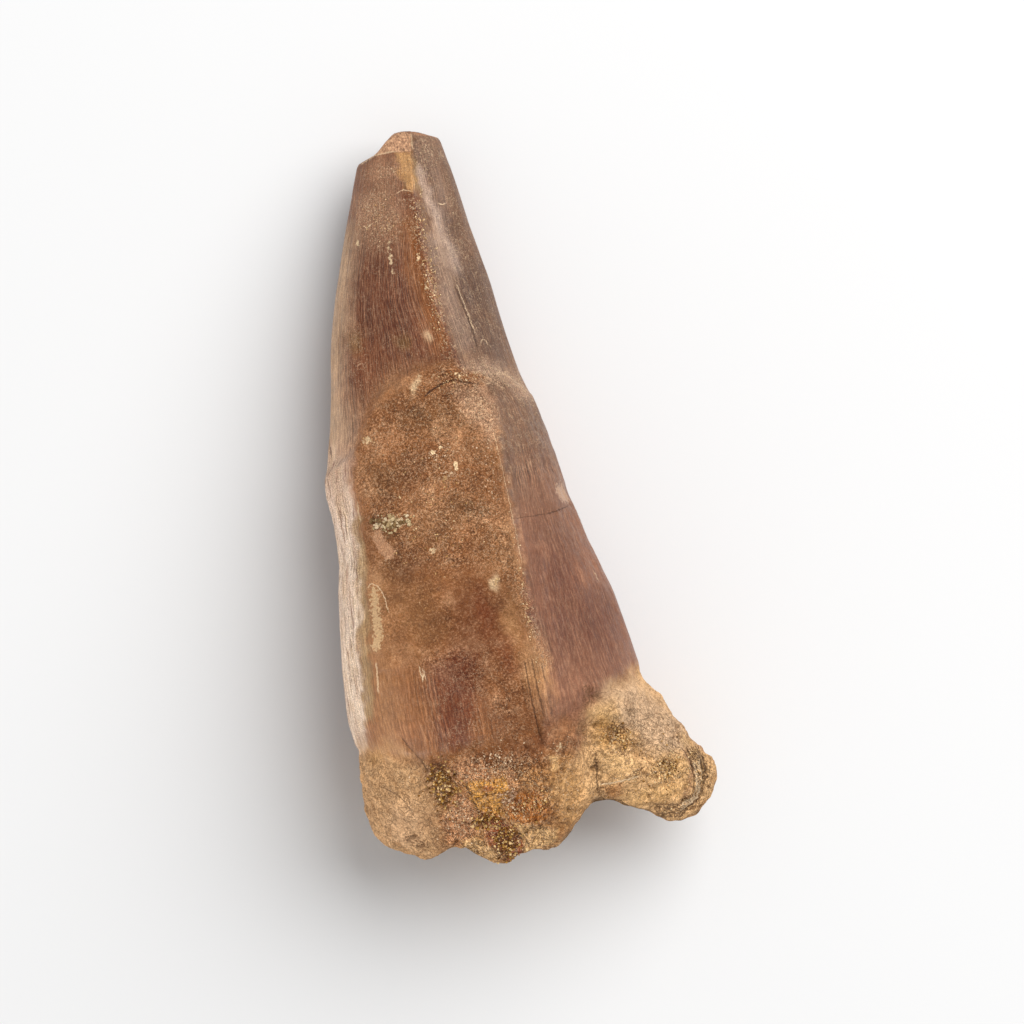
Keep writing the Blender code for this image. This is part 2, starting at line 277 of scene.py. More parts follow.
def closeEnd(bm, rim, endAt, hollow):
    # a grid of faces over an open end, with its middle moved on to the broken surface
    known = len(bm.verts)
    edges = [bm.edges.get((vert, rim[(place + 1) % len(rim)])) for place, vert in enumerate(rim)]
    upper = [edges[place % len(edges)] for place in range(-tooth["endUpperRight"], tooth["endUpperLeft"])]
    lowerStart = tooth["endUpperLeft"] + tooth["endSide"]
    lower = edges[lowerStart:lowerStart + len(upper)]
    bmesh.ops.grid_fill(bm, edges=upper + lower, use_interp_simple=True)
    bm.verts.ensure_lookup_table()
    filled = bm.verts[known:]
    points = np.array([vert.co[:] for vert in filled])
    rimPoints = np.array([vert.co[:] for vert in rim])
    toRim = np.array([np.sqrt(((rimPoints - point) ** 2).sum(axis=1).min()) for point in points])
    settled = endAt(points[:, 0], points[:, 2]) + hollow + lumpsOver(points, *relief["breakLumps"])
    settled += lumpsOver(points, *relief["breakHackle"])
    moved = points[:, 1] + (settled - points[:, 1]) * smoothStep(0.0, tooth["endEase"], toRim)
    for vert, along in zip(filled, moved.tolist()):
        vert.co.y = along


# how far the surface stands out over the plain sweep of the sections: first what the solid has too
relief = {
    "crustEdge": [
        (-14, 32.2), (-11, 33.2), (-9.4, 34.2), (-7.9, 36.8), (-6.4, 38.5), (-3.8, 39.5), (-1.8, 39.9),
        (0.3, 38.0), (3, 37.4), (5, 36.3), (7, 35.6),
    ],
    "crustThickness": 0.5, "crustFades": (8.0, 26.0),
    # grooves in the upper side: places (across, along), half width, depth; a rim has a depth below 0
    "grooves": [
        ([(-0.6, 57.0), (-0.6, 53.1), (0.1, 50.5), (0.8, 47.2), (1.3, 43.0)], 0.75, 0.55),
        ([(1.0, 54.5), (1.4, 50.5)], 0.7, -0.25),
        ([(5.5, 9.5), (5.1, 7.0), (5.1, 5.2)], 1.2, 0.9),
        ([(12.6, 7.8), (12.2, 4.6), (11.0, 2.2)], 0.45, 0.3),
        ([(0.2, 16.0), (0.1, 9.0)], 0.3, 0.22),
        ([(1.0, 16.0), (0.9, 9.0)], 0.3, 0.22),
        ([(-11.8, 9.0), (-10.3, 6.3), (-9.0, 4.4)], 0.4, 0.25),
        ([(1.9, 9.0), (1.65, 20.0), (1.5, 33.0)], 0.55, -0.3),
        ([(-0.4, 38.5), (-1.6, 45.0), (-1.5, 54.0)], 0.5, -0.2),
    ],
    # pits and lumps: across, along, radius, depth
    "pits": [
        (-7.3, 7.6, 1.1, 0.8), (-6.4, 5.7, 0.9, 0.6), (-3.9, 3.9, 1.2, 0.6), (-1.6, 4.8, 1.0, 0.5),
        (-9.5, 3.9, 0.8, 0.5), (7.2, 8.6, 1.0, 0.55), (10.3, 5.1, 1.1, 0.6), (8.6, 6.6, 0.7, 0.35),
        (-4.6, 6.3, 1.0, -0.4), (0.8, 3.9, 1.3, -0.4), (3.0, 7.4, 1.0, -0.3), (-10.8, 5.4, 1.5, -0.35),
        (-7.5, 27.8, 1.1, -0.4), (-5.0, 28.2, 0.8, -0.2), (-2.4, 31.3, 1.4, -0.2), (-4.7, 37.9, 0.7, -0.2),
    ],
    "enamelEnd": [(-14, 11.2), (-8, 9.4), (2.7, 11.0), (6, 12.2), (10, 13.4), (14, 14.0)],
    "enamelThickness": 0.28,
    "enamelEndWave": (0.8, 3.0, 6.0, 7.0),  # how far that edge wanders, over what width and length, seed
    "rootLumpsFade": (3.0, 8.5),
    # lumps: height, width, seed
    "enamelLumps": (0.07, 5.0, 0.0), "crustLumps": (0.16, 2.2, 10.0), "rootLumps": (0.34, 2.4, 20.0),
    "breakLumps": (0.45, 1.8, 40.0),
    # and what is too fine for the solid
    "crustGrit": (0.075, 0.62, 3.0), "crustSand": (0.05, 0.3, 5.0),
    "boneGrit": (0.12, 0.7, 7.0), "breakHackle": (0.16, 0.5, 50.0),
    "enamelFolds": (0.035, 0.7, 11.0), "stripFibres": (0.06, 0.5, 13.0),
    "foldStretch": 0.07,
    "pores": {
        "depth": 0.25, "spacing": 0.85, "edge": (0.12, 0.5), "patches": (2.6, 9.0), "patchEdge": (-0.1, 0.35),
    },
    "ridgeTeeth": {"height": 0.14, "width": 0.55, "halfWidth": 0.4, "fades": (9, 14), "seeds": (4.0, 6.0)},
    "crackDepth": 0.12, "crackHalfWidth": 0.16,
    "chipDepth": 0.22,
}


def crustCover(across, along, up):
    inside = smoothStep(-0.2, 0.9, profile(relief["crustEdge"], across) - along)
    return inside * smoothStep(*relief["crustFades"], along) * up


def rootCover(across, along):
    reach, width, length, seed = relief["enamelEndWave"]
    places = np.stack((across / width, along / length, np.full(across.shape, seed)), axis=-1)
    wave = reach * np.array([noise.noise(place) for place in places.tolist()])
    return 1 - smoothStep(-0.5, 0.5, along - profile(relief["enamelEnd"], across) - wave)


def solidRelief(points, up, crust, root):
    across, along = points[:, 0], points[:, 1]
    broken = 1 - smoothStep(*relief["rootLumpsFade"], along)
    height = relief["crustThickness"] * crust - relief["enamelThickness"] * root
    height += lumpsOver(points, *relief["enamelLumps"])
    height += lumpsOver(points, *relief["crustLumps"]) * crust
    height += lumpsOver(points, *relief["rootLumps"]) * np.maximum(root, broken)
    for path, halfWidth, depth in relief["grooves"]:
        height -= up * depth * hill(nearestOnPath(path, across, along)[0], halfWidth)
    for pitAcross, pitAlong, radius, depth in relief["pits"]:
        height -= up * depth * hill(np.hypot(across - pitAcross, along - pitAlong), radius)
    return height


# The marks that colours and stains are drawn with.
def spots(*ovals):
    # each is (across, along, half width, half length) and, where it leans, the degrees
    return {"spots": [(*oval, 0)[:5] for oval in ovals]}


def strokes(*paths):
    # each is (places, half width)
    return {"strokes": paths}


def areas(*outlines):
    return {"areas": outlines}


def area(*outline):
    return areas(outline)


# where the upper side isn't plain enamel
zones = {
    "crust": area((-10.1, 32.4), (-9.5, 34.3), (-8.7, 35.8), (-7.5, 37.4), (-6.2, 38.4), (-4.9, 38.9),
        (-3.8, 39.5), (-2.6, 39.7), (-1.7, 39.9), (-0.9, 39.4), (0.9, 38.3), (3.0, 37.8), (4.7, 36.6),
        (3.0, 36.9), (1.7, 36.4), (1.6, 31.9), (1.5, 28.7), (1.5, 21.0), (1.3, 16.0), (0.9, 9.5),
        (-1.2, 9.0), (-2.5, 12.2), (-3.2, 14.6), (-5.6, 15.9), (-8.0, 16.2), (-10.3, 17.0), (-10.4, 24.0),
        (-10.4, 28.5)),
    "strip": area((-16, 36.4), (-11.3, 35.6), (-10.9, 34.2), (-10.4, 31.6), (-10.15, 29.2), (-10.3, 26.4),
        (-10.9, 23.7), (-11.4, 21.4), (-11.9, 18.4), (-12.5, 14.5), (-12.9, 11.0), (-13.2, 8.6),
        (-16, 7.6)),
    "dentine": area((-6.0, 56.2), (-4.16, 56.5), (-3.2, 56.5), (-2.4, 56.45), (-1.15, 56.3), (-0.85, 59.0),
        (-7.0, 59.0)),
    "chip": spots((6.0, 27.8, 0.5, 0.9, 20)),
}

# soft washes of colour, in the order they go on: colour, strength, softness of the edge, marks
washes = {
    # the right side is painted darker than the left: the grey, rose, plum and dull browns on it are partly
    # the enamel's own colour, partly painted shade
    "crownRight": ("greyEnamelAndShade", 1.0, 0.25, area((-1.0, 59), (-1.35, 54), (-1.45, 50), (-1.35, 45),
        (-0.7, 42), (0.0, 38), (1.2, 36), (1.7, 30), (1.75, 22), (12, 22), (12, 59))),
    "faceRight": ("roseEnamelAndShade", 1.0, 1.6, area((1.0, 27.0), (1.0, 20), (1.0, 9), (16, 9), (16, 27.0))),
    "aboveCrack": ("roseEnamelAndShade", 0.6, 2.0, spots((4.6, 29.0, 2.6, 2.4))),
    "belowCrack": ("greyEnamelAndShade", 0.4, 1.6, spots((4.4, 24.4, 2.0, 1.6))),
    # the frayed strip at the left edge is washed pale: worn enamel, and partly a painted sheen that makes the
    # left side brighter
    "stripTone": ("stripPaleAndSheen", 1.0, 0.5, area((-16, 35.6), (-11.3, 35.0), (-10.9, 33.4), (-10.3, 31.6),
        (-10.15, 29.2), (-10.2, 26.4), (-10.7, 23.7), (-11.2, 21.4), (-11.7, 18.4), (-12.3, 14.5),
        (-12.8, 11.0), (-13.2, 8.6), (-16, 7.6))),
    "stripTop": ("stripShade", 0.75, 1.5, spots((-11.2, 33.0, 1.4, 3.4))),
    # these two make the left edge paler still: partly worn enamel, partly painted sheen
    "stripFade": ("greyRimAndSheen", 0.8, 2.2, spots((-12.0, 36.2, 2.6, 2.2))),
    "stripLow": ("stripWhiteAndSheen", 0.8, 1.2, spots((-12.6, 17.0, 0.8, 5.0, -7))),
    "paleTop": ("speckledTop", 0.8, 1.0, spots((-4.7, 51.4, 2.0, 2.8), (-3.6, 55.0, 1.6, 1.0))),
    "darkFace": ("deepEnamel", 0.8, 1.6, spots((-5.4, 45.5, 2.4, 4.6, 6))),
    "orangeRidge": ("orangeEnamel", 0.7, 0.8, strokes(([(-2.6, 50.5), (-2.2, 45), (-1.6, 41)], 0.8))),
    # a pale grey rim along the upper left edge: partly its own colour, partly painted sheen
    "leftRim": ("greyRimAndSheen", 0.95, 1.1, strokes(([(-7.8, 50.5), (-10.2, 42.5), (-11.4, 36.5)], 1.15))),
    "tipRight": ("darkTip", 0.8, 0.5, spots((0.2, 56.2, 1.2, 1.3), (0.7, 53.2, 0.6, 1.6, 8))),
    # a painted sheen down the groove beside the ridge and along the ridge's right side
    "groove": ("paintedSheen", 0.7, 0.5,
        strokes(([(-1.0, 54.6), (-0.5, 52), (0.1, 49.4), (0.7, 46.5)], 0.45))),
    "sheenRidge": ("paintedSheen", 0.3, 0.7, strokes(([(-0.6, 49), (0.0, 44.5), (0.6, 41)], 0.6))),
    # partly the right side's own dull brown, partly painted shade
    "midGrey": ("dullRightAndShade", 0.8, 1.2, spots((1.9, 43.5, 1.3, 4.0, 8))),
    "stepTan": ("stepTan", 0.85, 0.7,
        strokes(([(-0.4, 38.4), (1.3, 38.3), (3.2, 37.5), (4.8, 36.0)], 0.6))),
    # partly the right side's own plum-brown, partly painted shade
    "plumFace": ("plumEnamelAndShade", 0.75, 1.7, spots((6.8, 17.4, 1.9, 3.0, 8), (4.6, 21.5, 1.5, 3.0, 5),
        (3.9, 18.0, 1.1, 2.2, 5))),
    "crustBase": ("crustBrown", 1.0, 0.35, area((-10.3, 32.0), (-9.4, 34.6), (-7.6, 37.4), (-5.0, 38.9),
        (-2.6, 39.8), (-1.0, 39.4), (1.4, 37.6), (1.6, 31), (1.6, 22), (1.4, 16), (1.2, 9.5), (-6, 8.8),
        (-12.6, 10.0), (-12, 17), (-10.6, 24))),
    "crustLightA": ("crustLight", 0.7, 1.3, spots((0.3, 34.4, 1.2, 2.2), (0.2, 24.0, 1.4, 2.0),
        (-8.4, 21.8, 1.5, 1.9), (-4.6, 27.0, 2.4, 1.2), (-6.2, 38.3, 1.4, 0.6, 30))),
    "crustPink": ("crustPink", 0.8, 0.6, area((-1.4, 37.4), (1.4, 37.2), (1.8, 34.2), (0.8, 32.6),
        (-0.2, 34.8))),
    "crustDarkA": ("crustDark", 0.7, 1.2, spots((-2.7, 35.3, 1.3, 1.3), (-7.9, 31.2, 1.3, 1.6),
        (-1.9, 28.1, 1.4, 0.7, -20), (-4.2, 35.4, 1.6, 1.0), (-9.0, 24.4, 1.4, 0.9))),
    "belowLeft": ("tanLower", 0.8, 1.0,
        strokes(([(-9.9, 23), (-10.3, 18), (-10.6, 13), (-11.0, 10)], 0.9))),
    "belowMiddle": ("brownLower", 0.7, 1.6, spots((-6.6, 20.0, 2.2, 2.6))),
    "redMiddle": ("redLower", 0.9, 1.6, spots((-2.4, 18.4, 2.2, 3.4))),
    "beadTan": ("beadTan", 0.4, 0.3,
        strokes(([(1.5, 33.5), (1.5, 29), (1.4, 24), (1.2, 20.5), (1.6, 17)], 0.2))),
    "smudge": ("cream", 0.75, 0.3, spots((-3.95, 38.1, 0.25, 0.6, -35), (-0.4, 21.9, 0.3, 0.35),
        (-2.6, 41.6, 0.15, 0.3))),
    "foldTan": ("beadTan", 0.9, 0.7, spots((1.5, 14.5, 0.9, 2.6), (0.2, 18.7, 0.5, 1.6))),
    "plumPatch": ("plumLower", 0.85, 1.1, area((-6.7, 17.0), (-4.6, 17.4), (-2.9, 16.4), (-3.4, 12.6),
        (-4.6, 9.8), (-6.4, 8.9), (-7.2, 11.4), (-7.0, 14.4))),
    "brownLow": ("brownLow", 0.7, 1.4, spots((-1.2, 11.6, 2.2, 2.4))),
    "rootBase": ("rootBrown", 1.0, 1.3, area((-6.8, 8.8), (-4.5, 8.6), (-1, 8.4), (2.4, 8.4), (4.0, 6.5),
        (3.8, -2), (-8.0, -2), (-8.2, 5))),
    "collar": ("collarBeige", 1.0, 1.2, area((-16, 11.6), (-12.6, 10.8), (-10.5, 10.2), (-8.2, 8.8),
        (-7.9, 4.5), (-8.8, 0), (-16, 0))),
    "spurBase": ("spurTan", 1.0, 1.0, area((16, 14.6), (9.6, 13.3), (6.8, 12.3), (5.0, 10.9), (4.2, 8.6),
        (3.0, 7.0), (3.0, -1), (16, -1))),
    "collarLow": ("collarPale", 0.7, 1.0, spots((-10.6, 4.4, 1.7, 1.8))),
    "collarGold": ("collarGold", 0.6, 0.6, spots((-12.0, 10.2, 0.9, 0.5, 20))),
    "baseBrown": ("brownLow", 0.8, 0.6, area((-4.8, 9.2), (0.8, 9.4), (1.0, 7.2), (-2.0, 7.2),
        (-4.2, 7.6))),
    "baseGrain": ("baseMauve", 0.8, 0.4, area((-6.6, 8.4), (-5.0, 8.9), (-3.0, 7.2), (-1.6, 7.4),
        (-1.4, 5.8), (-3.0, 6.3), (-5.4, 6.9), (-7.0, 7.2))),
    "baseMauve": ("baseMauve", 0.9, 0.3, area((-6.9, 5.9), (-5.9, 6.6), (-5.3, 5.2), (-4.9, 3.6),
        (-6.0, 2.2), (-7.6, 2.2), (-7.9, 4.4))),
    "baseGold": ("baseGold", 0.85, 0.25, area((-5.8, 7.0), (-4.4, 6.9), (-2.2, 6.9), (-2.0, 5.9),
        (-3.3, 5.2), (-3.2, 4.0), (-4.9, 3.9), (-5.3, 5.3))),
    "baseAmber": ("baseAmber", 0.95, 0.4, area((-1.9, 5.4), (0.2, 5.2), (0.5, 3.4), (-0.6, 2.8),
        (-2.2, 3.2), (-2.8, 4.2))),
    "baseDark": ("pitBrown", 1.0, 0.25, area((-4.9, 4.2), (-3.6, 4.3), (-2.9, 2.8), (-1.8, 1.3),
        (-2.2, 0.3), (-3.8, 0.3), (-4.4, 1.4), (-4.7, 2.8))),
    "baseCream": ("spurCream", 0.75, 0.3, areas([(-6.6, 2.4), (-5.3, 2.6), (-4.6, 1.6), (-4.2, 0.2),
        (-5.6, 0.4), (-6.8, 1.2)], [(-2.6, 3.2), (-0.4, 2.6), (0.9, 2.4), (0.6, 0.8), (-1.6, 0.6),
        (-2.0, 2.0)], [(1.0, 7.9), (1.6, 7.9), (1.6, 6.8), (1.1, 6.8)])),
    "rightTan": ("rightTan", 0.9, 0.8, spots((2.3, 4.6, 1.3, 2.4))),
    "rightMauve": ("lowMauve", 0.85, 0.9, spots((2.8, 9.4, 1.2, 1.1))),
    "spurPink": ("spurPink", 0.9, 1.0, area((6.0, 12.0), (8.8, 12.6), (12.2, 8.6), (12.4, 6.2), (9.6, 6.4),
        (7.8, 8.4), (6.6, 10.2))),
    "spurBeige": ("spurCream", 0.6, 0.6, areas([(5.0, 10.9), (7.2, 11.2), (7.4, 9.8), (5.6, 9.4)],
        [(5.2, 7.4), (7.0, 7.2), (8.0, 6.0), (7.6, 5.1), (5.2, 5.2)])),
    "spurGold": ("spurGold", 0.75, 0.6, area((5.0, 9.6), (5.8, 10.0), (6.8, 9.4), (8.0, 8.0), (8.2, 7.2),
        (6.6, 7.6), (5.4, 7.9))),
    "spurOlive": ("spurOlive", 0.7, 0.6, spots((10.2, 4.9, 1.3, 0.8), (9.2, 3.2, 2.6, 0.6, 5))),
    "spurHollow": ("hollowTan", 0.9, 0.2, area((4.9, 4.75), (6.6, 4.75), (6.5, 3.9), (5.2, 3.5))),
    "spurEnd": ("endMauve", 0.75, 0.2,
        strokes(([(11.9, 6.0), (12.15, 4.9), (11.9, 3.6), (11.3, 2.7)], 0.16))),
    "spurEdge": ("spurCream", 0.6, 0.25, strokes(([(11.9, 7.4), (12.9, 5.6), (12.9, 3.6)], 0.2))),
    "redStain": ("rust", 0.45, 0.6, spots((-1.7, 19.8, 0.5, 1.5), (-0.6, 16.0, 0.7, 1.4))),
    "oliveEdge": ("oliveEdge", 0.9, 0.3,
        strokes(([(-10.3, 28.5), (-10.7, 24.5), (-11.3, 19.5), (-12.2, 13.0)], 0.35))),
    "amber": ("amber", 0.9, 0.35, area((-2.6, 56.6), (-1.2, 56.4), (-1.35, 55.0), (-1.2, 54.0),
        (-1.6, 53.4), (-2.2, 53.6), (-2.6, 54.6), (-2.45, 55.4))),
    "greenLine": ("olive", 0.6, 0.25, strokes(([(-1.1, 55.6), (-1.25, 54.3), (-1.2, 53.0)], 0.1))),
    "oliveSmudges": ("olive", 0.35, 0.5, spots((-8.2, 42.4, 0.4, 0.8), (-4.4, 41.8, 0.5, 0.6))),
}

# small sharp stains: colour, strength, raggedness and marks
stains = {
    # darker in and round the pits
    "darkPits": ("pitDark", 0.65, 1.5, spots((-7.4, 7.4, 0.55, 0.9, -10), (-5.2, 6.0, 0.15, 0.6, 20),
        (-4.3, 3.7, 0.7, 0.4, -25), (-3.2, 1.6, 0.9, 1.1, -30), (10.2, 5.3, 0.6, 0.5), (9.0, 5.0, 0.3, 0.2),
        (6.5, 8.7, 0.7, 0.6), (8.0, 7.5, 0.5, 0.3), (13.0, 4.6, 0.3, 0.9), (5.1, 12.0, 0.2, 0.4),
        (11.4, 7.4, 0.2, 0.3), (6.9, 7.1, 0.4, 0.2), (4.6, 7.2, 0.2, 0.2), (4.75, 6.6, 0.15, 0.3),
        (4.85, 4.35, 0.4, 0.3), (7.9, 5.2, 0.6, 0.15, 10), (-8.9, 27.9, 0.25, 0.4), (-8.1, 26.8, 0.5, 0.15),
        (11.6, 2.0, 0.5, 0.3, 30), (-10.4, 3.3, 0.35, 0.3), (-9.7, 2.6, 0.3, 0.3),
        (-1.2, 27.9, 1.0, 0.2, -25))),
    "chipTan": ("chipTan", 0.6, 0.5, spots((5.9, 27.8, 0.45, 0.8, 20))),
    "block": ("blockRed", 0.75, 0.4, spots((-3.9, 6.2, 0.5, 0.3, 5))),
    "peach": ("peach", 0.65, 0.5, area((-9.3, 27.3), (-8.7, 27.5), (-8.3, 26.4), (-7.7, 25.3), (-8.6, 25.0),
        (-9.2, 26.1))),
    "streak": ("creamStreak", 0.65, 0.8,
        strokes(([(-9.95, 22.8), (-10.1, 21.3), (-10.2, 19.4), (-10.5, 18.5)], 0.3))),
    "chalk": ("cream", 0.75, 0.5, {**spots((-3.95, 38.1, 0.06, 0.35, -35), (-7.6, 27.8, 0.9, 0.4),
        (-0.4, 21.9, 0.15, 0.2), (-4.86, 25.1, 0.2, 0.16), (-8.4, 34.5, 0.3, 0.2, 20),
        (-4.2, 48.6, 0.09, 0.4), (-6.6, 49.9, 0.06, 0.1), (-4.3, 47.2, 0.05, 0.12), (-2.1, 47.9, 0.1, 0.15),
        (-1.9, 45.4, 0.12, 0.2), (2.2, 8.5, 0.3, 0.15, 30)),
        **strokes(([(-4.2, 48.8), (-4.25, 47.9)], 0.04))}),
}

# how thickly a place is sprinkled with flecks of sand, from 0 to 1
flecked = {
    "ridge": (1.0, 0.7, strokes(([(-1.9, 52.5), (-1.7, 48), (-1.3, 43.5), (-0.8, 40)], 0.6))),
    "top": (0.9, 1.2, spots((-4.6, 51.6, 1.8, 2.6), (-0.2, 55.8, 1.2, 1.4), (-3.6, 55, 1.6, 1.0))),
    "right": (0.42, 2.6, area((-2.4, 58), (5, 58), (11, 30), (0, 30), (-1.0, 40))),
    "step": (1.0, 0.8, strokes(([(-1.2, 38.4), (1.2, 38.2), (3.2, 37.2), (4.8, 35.6)], 0.9),
        ([(0.6, 37.5), (1.2, 33)], 0.6))),
    "crust": (0.5, 1.0, area((-10, 32), (-8, 36.5), (-2, 39.5), (1.4, 37), (1.4, 20), (-0.5, 23),
        (-9, 24.5))),
    "bead": (0.7, 0.5, strokes(([(1.2, 22.0), (1.8, 18), (2.2, 15)], 0.5))),
    "cluster": (0.8, 0.9, spots((-2.9, 32.0, 1.3, 1.2))),
    "low": (0.35, 1.0, area((-7, 17.5), (-2, 17), (0.5, 9.5), (-6.5, 9))),
    "left": (0.2, 1.5, areas([(-14, 52), (-2.5, 52), (-1, 40), (-3, 39), (-10, 30), (-14, 38)], [(-8, 17),
        (1.5, 17), (3, 9), (-8, 9)])),
    "base": (0.85, 1.2, area((-8.2, 8.8), (-4, 8.8), (1.0, 8.0), (1.4, 5), (0.5, 0), (-8.0, -1))),
    "basePits": (1.0, 0.6, spots((-7.2, 6.8, 0.9, 1.6, -10), (-3.6, 2.6, 1.1, 1.9, -28),
        (-3.6, 7.8, 2.2, 0.5, 10))),
    "bare": (0.4, 1.2, area((1.0, 9), (8.4, 11.5), (13.5, 8.0), (15, 4), (12, 0), (0, 0))),
    "spur": (0.9, 0.8, spots((6.9, 8.3, 1.2, 0.9, -30), (10.2, 4.9, 1.4, 1.1), (12.8, 4.6, 0.7, 2.0))),
    "collar": (0.35, 1.0, area((-15, 11), (-8, 9), (-8, 0), (-15, 0))),
    "top left": (0.5, 1.0, spots((-8.3, 41.5, 1.0, 3.0))),
    "strip": (0.6, 0.5, area((-15, 35), (-10.8, 34), (-10.3, 26), (-11, 22), (-12.6, 12), (-15, 10))),
}

# how the marks go on, and what the two broken ends get instead: the root's (-1) and the tip's (1)
painting = {
    "wander": 0.45,  # how far the washes' edges stray
    "wanderWidths": (1.8, 0.6), "wanderSeeds": (21.0, 33.0),
    "endTones": {"breakTan": -1, "breakTip": 1}, "endStrength": 0.9,
    "plainFlecks": 0.05, "endFlecks": 0.55,
    "lineReach": 0.7,
}

# the underside, where it faces the floor
underCrust = area((-8.5, 14), (-9.0, 22), (-6.5, 27), (-3.5, 25), (-1.0, 27.5), (1.5, 22), (3.5, 16),
    (2, 11), (-4, 10))
underWashes = {
    # the underside's right half: partly its own rose-brown, partly painted shade
    "right": ("roseEnamelAndShade", 0.9, 1.5, area((1.5, 60), (1.5, 8), (16, 8), (16, 60))),
    "stained": ("plumLower", 0.6, 2.0, spots((-3.0, 30.0, 3.0, 8.0, 5), (3.5, 20.0, 2.5, 5.0, -5))),
    "tan": ("tanLower", 0.7, 1.5, spots((-7.5, 36.0, 2.2, 7.0, 8), (-2.0, 45.0, 2.0, 4.0),
        (4.5, 33.0, 1.0, 4.0, 8))),
    "crust": ("crustBrown", 0.95, 0.6, underCrust),
    "crustLight": ("crustLight", 0.7, 1.2, spots((-5.5, 20, 2.0, 2.0), (0.5, 15.5, 1.8, 2.0))),
    "root": ("collarBeige", 1.0, 1.5, area((-16, 11), (-8, 9.6), (2.7, 10.6), (6, 11.8), (16, 14), (16, -3),
        (-16, -3))),
    "rootStain": ("spurOlive", 0.6, 1.5, spots((-6.0, 5.5, 2.6, 1.6), (8.5, 6.5, 2.6, 1.8, -20))),
    "rootRust": ("rust", 0.45, 1.0, spots((0.5, 4.0, 2.2, 1.2, 10), (-11.0, 7.5, 1.2, 1.4))),
}
underZones = {
    "crust": underCrust,
    "strip": area((-16, 33.4), (-11.6, 33.0), (-11.4, 27.0), (-12.0, 20.0), (-12.6, 12.0), (-16, 11.0)),
}

# thin lines: (places, half width, strength)
thinLines = {
    "darkLine": [
        ([(-3.6, 37.0), (-2.85, 37.45), (-2.0, 37.8), (-1.1, 37.95)], 0.06, 0.9),
        ([(-1.1, 38.0), (-0.1, 37.55), (1.0, 37.35)], 0.06, 0.6),
        ([(1.8, 26.5), (3.0, 26.45), (4.3, 26.4)], 0.035, 0.35),
        ([(4.3, 26.4), (5.2, 26.5), (6.2, 26.75)], 0.045, 0.55),
        ([(0.4, 45.3), (0.63, 44.1), (0.94, 42.7), (1.16, 41.2), (1.3, 40.0)], 0.045, 0.65),
        ([(0.9, 44.6), (1.3, 43.0)], 0.03, 0.4), ([(1.5, 46.2), (1.9, 44.6)], 0.03, 0.4),
        ([(0.62, 15.6), (0.65, 13.0), (0.73, 10.8), (0.82, 9.4)], 0.05, 0.7),
        ([(1.2, 15.7), (1.27, 12.9), (1.39, 10.9)], 0.045, 0.65), ([(1.9, 15.3), (1.95, 13.6)], 0.04, 0.5),
        ([(0.1, 14.2), (0.15, 12.2)], 0.04, 0.4),
        *[([(-2.5, along), (-1.3, along + 0.1)], 0.05, 0.16) for along in (53.9, 54.4, 54.85, 55.3, 55.8)],
        ([(-11.95, 7.6), (-10.95, 6.9), (-10.3, 6.0), (-9.98, 5.1)], 0.04, 0.5),
        ([(-11.42, 35.9), (-11.55, 34.7), (-11.57, 33.6)], 0.05, 0.6),
        ([(4.65, 7.3), (4.8, 6.4), (4.6, 5.3), (4.55, 4.4)], 0.06, 0.55),
        ([(4.5, 4.2), (4.0, 3.2), (3.3, 2.3)], 0.05, 0.45),
        *[([(8.6, 2.5 - step), (10.6, 2.1 - step * 0.9), (11.8 + step * 0.6, 2.7 - step * 0.3),
            (12.2 + step, 4.0), (12.1 + step, 5.4), (11.6 + step, 6.6)], 0.05, 0.65)
            for step in (0.0, 0.35, 0.75, 1.05)],
        ([(-9.9, 11.4), (-9.5, 10.6), (-8.6, 9.2), (-8.2, 8.2)], 0.04, 0.5),
        ([(-5.6, 6.9), (-5.3, 6.0), (-5.05, 5.0), (-4.9, 4.3)], 0.06, 0.55),
        ([(-4.5, 5.75), (-3.9, 5.65), (-3.2, 5.8)], 0.06, 0.6),
        ([(-2.7, 3.3), (-1.9, 2.1), (-1.5, 1.1)], 0.06, 0.5),
        ([(-6.6, 2.6), (-5.6, 2.8), (-4.9, 2.2)], 0.05, 0.45),
    ],
    "paleLine": [
        ([(-10.47, 23.1), (-10.03, 23.4), (-9.53, 23.1), (-9.22, 22.1), (-9.1, 20.9)], 0.04, 0.7),
        ([(0.5, 45.5), (0.76, 44.3), (1.05, 42.8), (1.27, 41.3)], 0.03, 0.5),
        ([(1.5, 40.3), (1.7, 40.7), (2.0, 40.65), (2.1, 40.2)], 0.035, 0.5),
        ([(0.1, 52.0), (0.46, 51.75), (0.88, 51.9)], 0.04, 0.8),
        ([(-6.0, 51.2), (-5.65, 50.95), (-5.2, 51.2)], 0.04, 0.8),
        ([(-3.0, 53.2), (-2.3, 53.4), (-1.6, 53.1)], 0.04, 0.6),
        ([(-0.95, 57.8), (-1.05, 56.4)], 0.07, 0.5), ([(4.56, 4.9), (6.2, 4.85), (8.0, 4.95)], 0.06, 0.8),
        *[([(10.6, 1.9 - step * 0.9), (12.0 + step * 0.6, 2.5 - step * 0.3), (12.4 + step, 4.0),
            (12.3 + step, 5.4)], 0.06, 0.7)
            for step in (0.0, 0.4)],
        ([(7.1, 21.5), (7.5, 20.4)], 0.03, 0.35), ([(-7.5, 16.6), (-7.4, 15.2)], 0.04, 0.8),
        ([(-7.2, 16.3), (-7.12, 15.3)], 0.03, 0.7),
        ([(1.2, 38.9), (2.35, 38.3), (3.4, 37.4), (4.6, 36.1)], 0.06, 0.16),
        ([(-5.4, 56.0), (-4.2, 56.5), (-3.2, 56.55), (-2.3, 56.5)], 0.05, 0.5),
        ([(-10.1, 30.0), (-10.1, 28.2)], 0.06, 0.5),
        ([(-10.75, 17.4), (-10.85, 16.2), (-11.0, 14.9)], 0.07, 0.5),
        ([(1.35, 33.6), (1.5, 31.0), (1.6, 28.6), (1.66, 26.8), (1.7, 25.2), (1.75, 23.0)], 0.02, 0.5),
    ],
}


